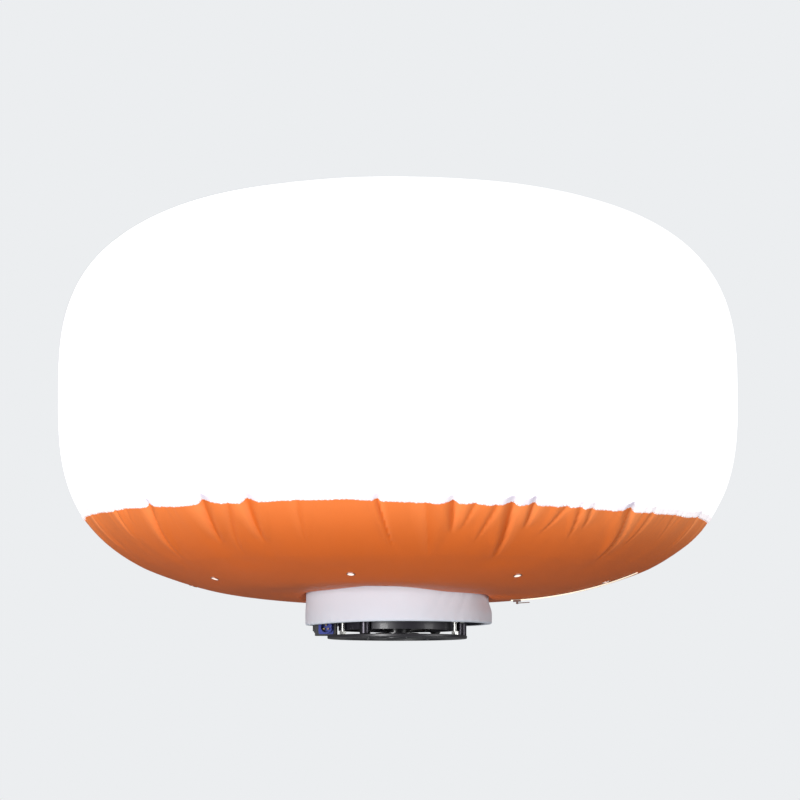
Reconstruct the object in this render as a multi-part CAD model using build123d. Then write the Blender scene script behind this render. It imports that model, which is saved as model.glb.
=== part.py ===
from build123d import *
import os
from math import asin, atan, cos, degrees, hypot, pi, radians, sin, sqrt

# Inflatable balloon light head. A fan in the base blows up a cloth envelope: a white translucent crown sewn to
# an orange bowl. A column of LEDs stands inside it on the base, and the base drops over the top of a mast.
# Frame: millimetres, +Z up, origin on the deck's underside at the middle of the mast socket. -Y is the front.

# ---- Clearances
SEAT = 0.1             # round pieces that are welded, pressed or screwed into each other
RUNNING = 0.05         # radial clearance of the fan's shaft in its bearings
SOFT_GAP = 0.3         # between cloth and what it lies on
SCREW_GAP = 0.2        # radial clearance of a screw in its hole

# ---- Envelope: the outline is half a superellipse above the widest circle and another below it
ENVELOPE_RADIUS = 550.0
WIDEST_HEIGHT = 400.0
CROWN_RISE = 329.0
CROWN_POWER = 2.9
BOWL_DROP = 343.0
BOWL_POWER = 2.95
FABRIC = 1.5
SEAM_HEIGHT = 199.0
GORES = 8              # panels sewn side by side round the envelope
GORE_START = -79.5     # azimuth of one sewn edge, degrees
CROWN_DISC_RADIUS = 40.0   # round piece that the panels' tips are sewn to

# ---- Bowl floor: a round arc from the neck out to the shoulder
FLOOR_ARC_RADIUS = 612.0
FLOOR_LOW_HEIGHT = 62.0
FLOOR_ARC_END = 400.0  # radius where the arc gives way to the shoulder
NECK_ROLL = 14.0       # radius of the roll that turns the floor up to the neck

# ---- Neck: sleeve outside, cuff inside, band clamp between them
SLEEVE_RADIUS = 148.0
SLEEVE_WALL = 1.6
SLEEVE_BOTTOM = 26.0
NECK_TOP = 80.0
HEM_TURN = 9.0         # how far the hem is drawn in
HEM_RISE = 6.0
CUFF_WALL = 1.2
CUFF_BOTTOM = 44.0
BAND_WALL = 1.2
BAND_BOTTOM = 48.0
BAND_HEIGHT = 10.0
BINDING_HEIGHT = 9.0
BINDING_WALL = 1.2

# ---- Deck and mast socket
DECK_RADIUS = 113.0
DECK_THICK = 5.0
MAST_BORE = 17.75
SOCKET_WALL = 3.25
SOCKET_HEIGHT = 60.0
SOCKET_CAP = 4.0
SOCKET_FLANGE_RADIUS = 35.0
SOCKET_FLANGE_THICK = 4.0
SOCKET_SCREW_CIRCLE = 29.0
WINDOW_INNER = 44.0
WINDOW_OUTER = 84.0
WINDOW_COUNT = 6
WINDOW_RIB = 14.0

# ---- Duct ring and neck flange
DUCT_RADIUS = 95.0
DUCT_WALL = 3.0
DUCT_BOTTOM = 13.0
DUCT_TOP = 64.0
DUCT_LIP = 4.0
DUCT_LIP_THICK = 2.0
DUCT_SEAT = 11.0       # width of the seat that carries the fan
DUCT_SEAT_THICK = 3.0
FLANGE_RADIUS = 136.0
FLANGE_BOTTOM = 30.0
FLANGE_THICK = 3.0
RIM_WALL = 2.5
RIM_TOP = 62.0
HUB_WALL = 3.0
HUB_TOP = 43.0

# ---- Posts, tie rods and their nuts
POST_CIRCLE = 104.0
POST_COUNT = 3
POST_RADIUS = 8.0
ROD_START = -27.0      # azimuth of the first tie rod, degrees
M6_RADIUS = 3.0
M6_HEAD = 5.8
M6_NUT_FLATS = 10.0
M6_NUT_THICK = 5.0
M4_RADIUS = 2.0
M4_HEAD = 3.6
M4_HEAD_THICK = 2.6

# ---- Mast clamp
CLAMP_AZIMUTH = 60.0
CLAMP_HEIGHT = 18.0
CLAMP_BOSS_RADIUS = 7.0
CLAMP_BOSS_END = 34.0
PAD_RADIUS = 2.9
PAD_LENGTH = 6.0
PAD_BACK = 0.3         # how far the pad stands back from the mast bore
CLAMP_END_GAP = 0.3
KNOB_START = 117.0
KNOB_LENGTH = 16.0
KNOB_RADIUS = 7.5
KNOB_LOBES = 6

# ---- Power inlet and switch, in a housing at the left
INLET_CENTRE = -115.0
INLET_WIDTH = 36.0     # along X
INLET_DEPTH = 34.0     # along Y
INLET_WALL = 2.0
SOCKET_PLATE = 24.0
SOCKET_PLATE_THICK = 2.0
PLUG_BARREL_RADIUS = 10.0
PLUG_BARREL_LENGTH = 7.0
PLUG_BORE_RADIUS = 8.0
PLUG_BORE_DEPTH = 12.0
PIN_RADIUS = 1.2
PIN_CIRCLE = 4.0
SWITCH_LENGTH = 21.0
SWITCH_HEIGHT = 15.0
SWITCH_BEZEL = 1.6
ROCKER_LENGTH = 16.0
ROCKER_HEIGHT = 10.5
ROCKER_TILT = 8.0
ROCKER_AXLE = 0.6

# ---- Fan
FAN_RADIUS = 95.0
FAN_BORE = 84.0
FAN_WALL = 2.5
FAN_HEIGHT = 34.0
FAN_FLANGE_THICK = 3.0
FAN_SCREW_CIRCLE = 88.5
FAN_SCREW_COUNT = 4
MOTOR_PLATE_RADIUS = 27.0
MOTOR_PLATE_THICK = 4.0
STRUT_WIDTH = 8.0
SHAFT_RADIUS = 3.0
BEARING_RADIUS = 8.0
BEARING_THICK = 5.0
BEARING_TUBE_WALL = 2.5
BEARING_TUBE_HEIGHT = 22.0
ROTOR_HUB_RADIUS = 33.0
ROTOR_HUB_WALL = 2.0
ROTOR_BOTTOM = 7.0     # above the fan's underside
ROTOR_HEIGHT = 23.0
BLADE_COUNT = 7
BLADE_TIP_GAP = 2.0
BLADE_THICK = 1.8
MAGNET_WALL = 2.0
STATOR_POLES = 6
STATOR_HEIGHT = 12.0
GUARD_WIRE = 1.25
GUARD_LIFT = 0.15      # height of the spokes off the fan's top face
GUARD_RINGS = (20.0, 38.0, 56.0, 74.0)

# ---- Lamp stand and driver
STAND_LEG_RADIUS = 118.0
STAND_LEG_WIDTH = 24.0
STAND_THICK = 3.0
STAND_TOP = 121.0
STAND_PLATE_RADIUS = 78.0
STAND_FOOT = 14.0
STAND_START = 30.0
HOUSING_RADIUS = 62.0
HOUSING_WALL = 3.0
HOUSING_HEIGHT = 42.0
HOUSING_RIBS = 16
RIB_DEPTH = 3.0
RIB_WIDTH = 2.5
LID_THICK = 4.0
LID_SCREW_CIRCLE = 55.5
LID_SCREW_COUNT = 4
BOARD_THICK = 1.6
DRIVER_BOARD_RADIUS = 50.0
DRIVER_BOARD_HEIGHT = 12.0
GLAND_RADIUS = 8.0
GLAND_LENGTH = 13.0
GLAND_HEIGHT = 142.0
FAN_GLAND_AZIMUTH = 215.0

# ---- LED column
CORE_FLATS = 50.0
CORE_BORE = 19.0
CORE_HEIGHT = 225.0
LED_BOARD_WIDTH = 24.0
LED_BOARD_LENGTH = 210.0
LED_CHIP = 5.6
LED_CHIP_THICK = 0.8
LED_ROWS = 10
DIFFUSER_RADIUS = 44.5
DIFFUSER_WALL = 2.5
DIFFUSER_HEIGHT = 231.0
CAP_RADIUS = 46.0
CAP_THICK = 10.0
CENTRE_BOLT_RADIUS = 4.0

# ---- Guard cage and crown tether
CAGE_RADIUS = 72.0
CAGE_WIRE = 2.0
CAGE_WIRES = 8
CAGE_START = 22.5
CAGE_TOP = 455.0
CAGE_SHOULDER = 30.0
CAGE_HUB_RADIUS = 16.0
CAGE_HUB_THICK = 5.0
CAGE_HOOPS = 4
EYE_RADIUS = 9.0
EYE_WIRE = 2.5
HOOK_WIDTH = 16.0
HOOK_LENGTH = 34.0
HOOK_WIRE = 2.0
TETHER_WIDTH = 20.0
TETHER_THICK = 1.5
TETHER_LOOP = 14.0
PATCH_RADIUS = 55.0
PATCH_THICK = 1.3
BUCKLE_HEIGHT = 620.0

# ---- Cables
SUPPLY_RADIUS = 4.0
FAN_LEAD_RADIUS = 2.2
GROMMET_RADIUS = 8.0
GROMMET_LIP = 1.5

# ---- Bleed eyelets and service zip in the bowl
EYELET_COUNT = 8
EYELET_START = -102.0
EYELET_CIRCLE = 342.0
EYELET_BORE = 4.0
EYELET_BARREL = 4.6
EYELET_RADIUS = 6.5
EYELET_LIP = 0.8
ZIP_AZIMUTH = -8.0
ZIP_START = 185.0
ZIP_END = 390.0
ZIP_SLOT_WIDTH = 10.0
ZIP_TAPE_PROUD = 0.8
ZIP_COIL_WIDTH = 3.6
ZIP_COIL_HEIGHT = 1.6
SLIDER_START = 195.0
SLIDER_LENGTH = 12.0
SLIDER_WIDTH = 9.0
SLIDER_WALL = 1.4
SLIDER_GAP = 0.4
PULL_PIN_RADIUS = 0.7
PULL_LUG_WALL = 1.2
PULL_WIDTH = 5.0
PULL_LENGTH = 20.0
PULL_THICK = 1.2

# ---- Places that follow from the sizes above
FLOOR_LOW_RADIUS = SLEEVE_RADIUS + SOFT_GAP + NECK_ROLL
FLOOR_CENTRE_HEIGHT = FLOOR_LOW_HEIGHT + FLOOR_ARC_RADIUS
SOCKET_RADIUS = MAST_BORE + SOCKET_WALL
FLANGE_TOP = FLANGE_BOTTOM + FLANGE_THICK
FAN_BOTTOM = DUCT_TOP
FAN_TOP = FAN_BOTTOM + FAN_HEIGHT
HOUSING_TOP = STAND_TOP + HOUSING_HEIGHT
LID_TOP = HOUSING_TOP + LID_THICK
CORE_TOP = LID_TOP + CORE_HEIGHT
DIFFUSER_TOP = LID_TOP + DIFFUSER_HEIGHT
CAP_TOP = DIFFUSER_TOP + CAP_THICK
POST_ANGLES = [360 / POST_COUNT * i for i in range(POST_COUNT)]
ROD_ANGLES = [ROD_START + 360 / POST_COUNT * i for i in range(POST_COUNT)]
STAND_ANGLES = [STAND_START + 120 * i for i in range(3)]
CLAMP_PAD_START = MAST_BORE + PAD_BACK
CLAMP_SCREW_START = CLAMP_PAD_START + PAD_LENGTH + CLAMP_END_GAP
BASE_ALIGN = (Align.CENTER, Align.CENTER, Align.MIN)


# ---- Helpers
def write(name, *solids):
    """Writes one node: one solid, or a group of separate ones."""
    shape = solids[0] if len(solids) == 1 else Compound(list(solids))
    export_step(shape, f"parts/{name}.step")


def disc(radius, bottom, top):
    return Pos(0, 0, bottom) * Cylinder(radius, top - bottom, align=BASE_ALIGN)


def ring(outer, inner, bottom, top):
    return disc(outer, bottom, top) - disc(inner, bottom - 1, top + 1)


def hexagon(flats, bottom, top):
    return Pos(0, 0, bottom) * extrude(RegularPolygon(flats / 2, 6, major_radius=False), top - bottom)


def nut(flats, bore, bottom, top):
    return hexagon(flats, bottom, top) - disc(bore, bottom - 1, top + 1)


def turned(*points):
    """The solid that a closed outline of (radius, height) points makes when it is turned about Z."""
    outline = Polyline(*[(r, 0, z) for r, z in points], close=True)
    return revolve(Face(Wire(outline.edges())), Axis.Z)


def placed(shape, radius, angles):
    """Copies of a shape, each moved out to a radius along its azimuth."""
    return [Rot(0, 0, angle) * Pos(radius, 0, 0) * shape for angle in angles]


def lying(radius, start, end, height, azimuth):
    """A round bar along an azimuth, from one radius to another."""
    bar = Cylinder(radius, end - start, align=BASE_ALIGN)
    return Rot(0, 0, azimuth) * Pos(start, 0, height) * Rot(0, 90, 0) * bar


# ---- Envelope outline
def outline_point(share, power, rise, inset=0.0):
    """A point (radius, height above or below the widest circle) of a superellipse quarter, moved in by inset.
    share runs from 0 at the widest circle to 1 at the pole."""
    angle = share * pi / 2
    r = ENVELOPE_RADIUS * cos(angle) ** (2 / power)
    h = rise * sin(angle) ** (2 / power)
    normal_r = (r / ENVELOPE_RADIUS) ** (power - 1) / ENVELOPE_RADIUS
    normal_h = (h / rise) ** (power - 1) / rise
    length = hypot(normal_r, normal_h)
    return r - inset * normal_r / length, h - inset * normal_h / length


def share_at_drop(drop):
    """The share of the bowl's quarter at which the outline is that far below the widest circle."""
    return asin((drop / BOWL_DROP) ** (BOWL_POWER / 2)) / (pi / 2)


def bowl_point(share, inset=0.0):
    r, h = outline_point(share, BOWL_POWER, BOWL_DROP, inset)
    return Vector(r, 0, WIDEST_HEIGHT - h)


def crown_point(share, inset=0.0):
    r, h = outline_point(share, CROWN_POWER, CROWN_RISE, inset)
    return Vector(r, 0, WIDEST_HEIGHT + h)


def crown_curve(inset):
    """From the seam up over the widest circle to the crown disc, as a chain of arcs through the outline."""
    seam = share_at_drop(WIDEST_HEIGHT - SEAM_HEIGHT - SEAT)
    side = [bowl_point(seam * part, inset) for part in (1, 0.75, 0.5, 0.25)]
    top = [crown_point(part, inset) for part in (0, 0.12, 0.24, 0.36, 0.48, 0.6, 0.75, 0.9)]
    tip = Vector(CROWN_DISC_RADIUS, 0, WIDEST_HEIGHT + CROWN_RISE - inset)
    points = [*side, *top, tip]
    return [ThreePointArc(*points[i:i + 3]) for i in range(0, len(points) - 1, 2)]


def floor_angle(radius):
    """The angle along the floor's arc, from straight down, at which the floor has this radius."""
    return degrees(asin((radius - FLOOR_LOW_RADIUS) / FLOOR_ARC_RADIUS))


def floor_point(angle, outset=0.0):
    reach = FLOOR_ARC_RADIUS + outset
    r = FLOOR_LOW_RADIUS + reach * sin(radians(angle))
    return Vector(r, 0, FLOOR_CENTRE_HEIGHT - reach * cos(radians(angle)))


def floor_arc(start, end, outset):
    """The floor's arc between two angles, moved outwards by outset."""
    return ThreePointArc(floor_point(start, outset), floor_point((start + end) / 2, outset),
                         floor_point(end, outset))


def bowl_curve(inset):
    """From the neck, round the roll, along the floor and up the shoulder to the seam."""
    roll = NECK_ROLL - inset
    neck = Vector(FLOOR_LOW_RADIUS - roll, 0, NECK_TOP)
    roll_top = Vector(FLOOR_LOW_RADIUS - roll, 0, FLOOR_LOW_HEIGHT + NECK_ROLL)
    roll_side = Vector(FLOOR_LOW_RADIUS - roll * sin(pi / 4), 0,
                       FLOOR_LOW_HEIGHT + NECK_ROLL - roll * cos(pi / 4))
    end = floor_angle(FLOOR_ARC_END)
    seam = share_at_drop(WIDEST_HEIGHT - SEAM_HEIGHT)
    first = share_at_drop(WIDEST_HEIGHT - floor_point(end).Z)
    shoulder = [bowl_point(seam + (first - seam) * part, inset) for part in (0.6, 0.3, 0)]
    arc = floor_arc(0, end, -inset)
    return [
        Line(neck, roll_top),
        ThreePointArc(roll_top, roll_side, floor_point(0, -inset)),
        arc,
        Spline(arc @ 1, *shoulder, tangents=[arc % 1, shoulder[-1] - shoulder[-2]]),
    ]


def gored(outer, inner, angles):
    """The cloth between two outlines, turned into sewn panels that start at the given azimuths."""
    start, end = outer[0] @ 0, outer[-1] @ 1
    wall = [*outer, Line(end, inner[-1] @ 1), *inner, Line(inner[0] @ 0, start)]
    face = Face(Wire([edge for curve in wall for edge in curve.edges()]))
    panel = revolve(face, Axis.Z, 360 / GORES)
    return [Rot(0, 0, angle) * panel for angle in angles]


def on_floor(radius, azimuth):
    """A place on the bowl's outer face: X leads outwards along the cloth, Z points away from it."""
    angle = floor_angle(radius)
    return Rot(0, 0, azimuth) * Pos(*floor_point(angle)) * Rot(0, -angle, 0) * Rot(180, 0, 0)


def floor_strip(start, end, low, high, half_width, side=0.0):
    """A strip that follows the floor's arc in the zip's plane, between two heights off the cloth."""
    inner = floor_arc(start, end, low)
    outer = floor_arc(start, end, high)
    edges = [inner, Line(inner @ 1, outer @ 1), outer, Line(inner @ 0, outer @ 0)]
    face = Face(Wire([edge for curve in edges for edge in curve.edges()]))
    strip = extrude(face, half_width, dir=(0, 1, 0), both=True)
    return Rot(0, 0, ZIP_AZIMUTH) * Pos(0, side, 0) * strip


# ---- Envelope, seam, eyelets and zip
def envelope():
    gore_angles = [GORE_START + 360 / GORES * i for i in range(GORES)]
    top = WIDEST_HEIGHT + CROWN_RISE
    crown_disc = disc(CROWN_DISC_RADIUS - SEAT, top - FABRIC, top)
    write("envelope_upper", crown_disc, *gored(crown_curve(0), crown_curve(FABRIC), gore_angles))

    eyelet_angles = [EYELET_START + 360 / EYELET_COUNT * i for i in range(EYELET_COUNT)]
    places = [on_floor(EYELET_CIRCLE, angle) for angle in eyelet_angles]
    hole = Cylinder(EYELET_BARREL + SOFT_GAP, 12)
    slot_length = ZIP_END - ZIP_START
    slot_box = Box(slot_length, ZIP_SLOT_WIDTH, 160, align=(Align.MIN, Align.CENTER, Align.MIN))
    slot = Rot(0, 0, ZIP_AZIMUTH) * Pos(ZIP_START, 0, 0) * slot_box
    panels = gored(bowl_curve(0), bowl_curve(FABRIC), gore_angles)
    holes = [place * hole for place in places]
    write("envelope_lower", *[panel - [*holes, slot] for panel in panels])

    low, high = SEAM_HEIGHT + 2 * SOFT_GAP, SEAM_HEIGHT + BINDING_HEIGHT
    near = 2 * SOFT_GAP
    r_low = bowl_point(share_at_drop(WIDEST_HEIGHT - low)).X + near
    r_high = bowl_point(share_at_drop(WIDEST_HEIGHT - high)).X + near
    write("seam_binding", turned((r_low, low), (r_low + BINDING_WALL, low),
                                 (r_high + BINDING_WALL, high), (r_high, high)))

    lip_out = ring(EYELET_RADIUS, EYELET_BORE, SOFT_GAP, SOFT_GAP + EYELET_LIP)
    lip_in = ring(EYELET_RADIUS, EYELET_BORE, -FABRIC - SOFT_GAP - EYELET_LIP, -FABRIC - SOFT_GAP)
    barrel = ring(EYELET_BARREL, EYELET_BORE, -FABRIC - SOFT_GAP - EYELET_LIP, SOFT_GAP + EYELET_LIP)
    eyelet = barrel + lip_out + lip_in
    write("vent_eyelets", *[place * eyelet for place in places])


def zip_fastener():
    margin = degrees(SOFT_GAP / FLOOR_ARC_RADIUS)
    start, end = floor_angle(ZIP_START) + margin, floor_angle(ZIP_END) - margin
    tape_half = ZIP_SLOT_WIDTH / 2 - SOFT_GAP
    write("zip_tape", floor_strip(start, end, -FABRIC, ZIP_TAPE_PROUD, tape_half))
    coil_top = ZIP_TAPE_PROUD + ZIP_COIL_HEIGHT
    write("zip_coil", floor_strip(start, end, ZIP_TAPE_PROUD, coil_top, ZIP_COIL_WIDTH / 2))

    middle = floor_angle(SLIDER_START)
    half = degrees(SLIDER_LENGTH / 2 / FLOOR_ARC_RADIUS)
    plate_low = coil_top + SLIDER_GAP
    plate_high = plate_low + SLIDER_WALL
    plate = floor_strip(middle - half, middle + half, plate_low, plate_high, SLIDER_WIDTH / 2)
    cheek_side = (SLIDER_WIDTH - SLIDER_WALL) / 2
    cheeks = [floor_strip(middle - half, middle + half, ZIP_TAPE_PROUD + SLIDER_GAP, plate_high,
                          SLIDER_WALL / 2, side) for side in (-cheek_side, cheek_side)]
    place = on_floor(SLIDER_START, ZIP_AZIMUTH)
    pin_height = pull_pin_height()
    lug_outer = PULL_WIDTH / 2 + SLIDER_GAP + PULL_LUG_WALL
    lug = Box(2.6, PULL_LUG_WALL, pin_height + 1.3 - plate_low, align=(Align.CENTER, Align.MAX, Align.MIN))
    lugs = [place * Pos(0, lug_outer, plate_low) * lug,
            place * Pos(0, PULL_LUG_WALL - lug_outer, plate_low) * lug]
    pin = place * Pos(0, 0, pin_height) * Rot(90, 0, 0) * Cylinder(PULL_PIN_RADIUS, 2 * lug_outer)
    write("zip_slider", plate + cheeks + lugs + pin)

    eye_radius = PULL_PIN_RADIUS + RUNNING + 1.0
    eye = Rot(90, 0, 0) * Cylinder(eye_radius, PULL_WIDTH)
    tab = Box(PULL_LENGTH, PULL_WIDTH, PULL_THICK, align=(Align.MIN, Align.CENTER, Align.CENTER))
    bore = Rot(90, 0, 0) * Cylinder(PULL_PIN_RADIUS + RUNNING, PULL_WIDTH + 2)
    grip_hole = Pos(PULL_LENGTH - 4, 0, 0) * Cylinder(1.3, PULL_THICK + 1)
    write("zip_pull", place * Pos(0, 0, pin_height) * (eye + tab - bore - grip_hole))


def pull_pin_height():
    """The height of the pull's pin above the cloth."""
    eye_radius = PULL_PIN_RADIUS + RUNNING + 1.0
    return ZIP_TAPE_PROUD + ZIP_COIL_HEIGHT + SLIDER_GAP + SLIDER_WALL + SLIDER_GAP + eye_radius


# ---- Neck
def neck():
    outer, inner = SLEEVE_RADIUS, SLEEVE_RADIUS - SLEEVE_WALL
    hem = inner - HEM_TURN
    bottom, bend = SLEEVE_BOTTOM, SLEEVE_BOTTOM + HEM_RISE
    write("neck_sleeve", turned((outer, NECK_TOP), (outer, bend), (hem + SLEEVE_WALL, bottom), (hem, bottom),
                                (hem, bottom + SLEEVE_WALL), (inner, bend + SLEEVE_WALL), (inner, NECK_TOP)))
    cuff = FLANGE_RADIUS + SOFT_GAP
    outer_edge = SLEEVE_RADIUS + SOFT_GAP + FABRIC
    top = NECK_TOP + CUFF_WALL
    write("neck_cuff", turned((cuff, CUFF_BOTTOM), (cuff + CUFF_WALL, CUFF_BOTTOM), (cuff + CUFF_WALL, NECK_TOP),
                              (outer_edge, NECK_TOP), (outer_edge, top), (cuff, top)))
    band = cuff + CUFF_WALL + SOFT_GAP
    hoop = ring(band + BAND_WALL, band, BAND_BOTTOM, BAND_BOTTOM + BAND_HEIGHT)
    housing = Box(5.5, 14, 11) - Pos(0.6, 0, 0) * Rot(90, 0, 0) * Cylinder(1.6 + SCREW_GAP, 20)
    middle = BAND_BOTTOM + BAND_HEIGHT / 2
    at = Rot(0, 0, 90) * Pos(band + BAND_WALL + 2.4, 0, middle)
    screw = Rot(90, 0, 0) * (Cylinder(1.6, 20) + Pos(0, 0, 12) * hexagon(4.6, -2, 1.5))
    write("neck_band", hoop + at * housing)
    write("band_screw", at * Pos(0.6, 0, 0) * screw)


# ---- Deck, mast socket and clamp
def deck():
    plate = disc(DECK_RADIUS, 0, DECK_THICK)
    plate = chamfer(plate.edges().filter_by(GeomType.CIRCLE), 0.8)
    windows = ring(WINDOW_OUTER, WINDOW_INNER, -1, DECK_THICK + 1)
    rib = Box(2 * WINDOW_OUTER + 10, WINDOW_RIB, 20)
    windows -= [Rot(0, 0, 360 / WINDOW_COUNT * i) * rib for i in range(WINDOW_COUNT // 2)]
    windows = fillet(windows.edges().filter_by(Axis.Z), 4)
    holes = placed(disc(M6_RADIUS + SCREW_GAP, -1, DECK_THICK + 1), POST_CIRCLE, POST_ANGLES + ROD_ANGLES)
    sinks = placed(screw_sink(M6_RADIUS, M6_HEAD), POST_CIRCLE, POST_ANGLES)
    socket_angles = [45 + 90 * i for i in range(4)]
    small = placed(disc(M4_RADIUS + SCREW_GAP, -1, DECK_THICK + 1), SOCKET_SCREW_CIRCLE, socket_angles)
    small_sinks = placed(screw_sink(M4_RADIUS, M4_HEAD), SOCKET_SCREW_CIRCLE, socket_angles)
    centre = disc(SOCKET_RADIUS + SEAT, -1, DECK_THICK + 1)
    write("deck_plate", plate - [windows, centre, *holes, *sinks, *small, *small_sinks])
    socket_screw = sunk_screw(M4_RADIUS, M4_HEAD, DECK_THICK + SOCKET_FLANGE_THICK)
    post_screw = sunk_screw(M6_RADIUS, M6_HEAD, FLANGE_TOP + M6_NUT_THICK + 2)
    write("deck_screws", *placed(socket_screw, SOCKET_SCREW_CIRCLE, socket_angles),
          *placed(post_screw, POST_CIRCLE, POST_ANGLES))


def screw_sink(radius, head):
    """The cone cut for a countersunk head, open at the deck's underside."""
    reach = head + SCREW_GAP
    return turned((0, -1), (reach, -1), (reach, 0), (radius + SCREW_GAP, head - radius), (0, head - radius))


def sunk_screw(radius, head, top):
    return turned((0, 0), (head, 0), (radius, head - radius), (radius, top), (0, top))


def mast_socket():
    bore_top = SOCKET_HEIGHT - SOCKET_CAP
    body = disc(SOCKET_RADIUS, 0, SOCKET_HEIGHT)
    flange = disc(SOCKET_FLANGE_RADIUS, DECK_THICK, DECK_THICK + SOCKET_FLANGE_THICK)
    boss = lying(CLAMP_BOSS_RADIUS, MAST_BORE + 1, CLAMP_BOSS_END, CLAMP_HEIGHT, CLAMP_AZIMUTH)
    bore = disc(MAST_BORE, -1, bore_top)
    mouth = turned((0, -1), (MAST_BORE + 2, -1), (MAST_BORE, 1), (0, 1))
    thread = lying(PAD_RADIUS + SCREW_GAP, 0, CLAMP_BOSS_END + 1, CLAMP_HEIGHT, CLAMP_AZIMUTH)
    thread -= disc(MAST_BORE - 2, 0, bore_top)
    holes = placed(disc(M4_RADIUS + SCREW_GAP, 0, 20), SOCKET_SCREW_CIRCLE, [45 + 90 * i for i in range(4)])
    write("mast_socket", body + flange + boss - [bore, mouth, thread, *holes])


def mast_clamp():
    write("clamp_pad", lying(PAD_RADIUS, CLAMP_PAD_START, CLAMP_PAD_START + PAD_LENGTH, CLAMP_HEIGHT,
                             CLAMP_AZIMUTH))
    knob_end = KNOB_START + KNOB_LENGTH
    write("clamp_screw", lying(PAD_RADIUS, CLAMP_SCREW_START, KNOB_START + KNOB_LENGTH / 2, CLAMP_HEIGHT,
                               CLAMP_AZIMUTH))
    knob = lying(KNOB_RADIUS, KNOB_START, knob_end, CLAMP_HEIGHT, CLAMP_AZIMUTH)
    knob = chamfer(knob.edges().filter_by(GeomType.CIRCLE), 1.2)
    along = Rot(0, 0, CLAMP_AZIMUTH) * Pos(KNOB_START + 4, 0, CLAMP_HEIGHT) * Rot(0, 90, 0)
    groove = Pos(KNOB_RADIUS + 1.7, 0, 0) * Cylinder(2.8, KNOB_LENGTH, align=BASE_ALIGN)
    grooves = [along * Rot(0, 0, 360 / KNOB_LOBES * i) * groove for i in range(KNOB_LOBES)]
    bore = lying(PAD_RADIUS + SEAT / 2, KNOB_START - 1, KNOB_START + KNOB_LENGTH / 2, CLAMP_HEIGHT,
                 CLAMP_AZIMUTH)
    write("clamp_knob", knob - [*grooves, bore])


# ---- Duct ring, flange, posts and rods
def duct_and_flange():
    inner = DUCT_RADIUS - DUCT_WALL
    wall = turned((inner - DUCT_LIP, DUCT_BOTTOM), (DUCT_RADIUS, DUCT_BOTTOM), (DUCT_RADIUS, DUCT_TOP),
                  (DUCT_RADIUS - DUCT_SEAT, DUCT_TOP), (DUCT_RADIUS - DUCT_SEAT, DUCT_TOP - DUCT_SEAT_THICK),
                  (inner, DUCT_TOP - DUCT_SEAT_THICK), (inner, DUCT_BOTTOM + DUCT_LIP_THICK),
                  (inner - DUCT_LIP, DUCT_BOTTOM + DUCT_LIP_THICK))
    screw_way = lying(PAD_RADIUS + 1, inner - 8, DUCT_RADIUS + 2, CLAMP_HEIGHT, CLAMP_AZIMUTH)
    pilots = placed(disc(M4_RADIUS + SEAT / 2, DUCT_TOP - 8, DUCT_TOP + 1), FAN_SCREW_CIRCLE, fan_screw_angles())
    write("duct_ring", wall - [screw_way, *pilots])

    hub_inner = DUCT_RADIUS + SEAT
    rim_inner = FLANGE_RADIUS - RIM_WALL
    pan = turned((hub_inner, FLANGE_BOTTOM), (FLANGE_RADIUS, FLANGE_BOTTOM), (FLANGE_RADIUS, RIM_TOP),
                 (rim_inner, RIM_TOP), (rim_inner, FLANGE_TOP), (hub_inner + HUB_WALL, FLANGE_TOP),
                 (hub_inner + HUB_WALL, HUB_TOP), (hub_inner, HUB_TOP))
    holes = placed(disc(M6_RADIUS + SCREW_GAP, FLANGE_BOTTOM - 1, FLANGE_TOP + 1), POST_CIRCLE,
                   POST_ANGLES + ROD_ANGLES)
    feet = placed(disc(M4_RADIUS + SEAT, FLANGE_BOTTOM - 1, FLANGE_TOP + 1), stand_screw_circle(), STAND_ANGLES)
    grommet = Pos(INLET_CENTRE, 0, 0) * disc(GROMMET_RADIUS, FLANGE_BOTTOM - 1, FLANGE_TOP + 1)
    write("neck_flange", pan - [*holes, *feet, grommet])


def posts_and_rods():
    nut_low = FLANGE_BOTTOM - M6_NUT_THICK
    bore = M6_RADIUS + SCREW_GAP
    post = ring(POST_RADIUS, bore, DECK_THICK, nut_low)
    post = chamfer(post.edges().filter_by(GeomType.CIRCLE).group_by(SortBy.RADIUS)[-1], 0.8)
    write("spacer_posts", *placed(post, POST_CIRCLE, POST_ANGLES))
    top = FLANGE_TOP + M6_NUT_THICK + 2
    write("tie_rods", *placed(disc(M6_RADIUS, 0.5, top), POST_CIRCLE, ROD_ANGLES))
    lower = nut(M6_NUT_FLATS, M6_RADIUS + SEAT, nut_low, FLANGE_BOTTOM)
    upper = nut(M6_NUT_FLATS, M6_RADIUS + SEAT, FLANGE_TOP, FLANGE_TOP + M6_NUT_THICK)
    on_deck = nut(M6_NUT_FLATS, M6_RADIUS + SEAT, DECK_THICK, DECK_THICK + M6_NUT_THICK)
    nuts = placed(lower, POST_CIRCLE, POST_ANGLES + ROD_ANGLES)
    nuts += placed(upper, POST_CIRCLE, POST_ANGLES + ROD_ANGLES)
    write("post_nuts", *nuts, *placed(on_deck, POST_CIRCLE, ROD_ANGLES))


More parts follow.
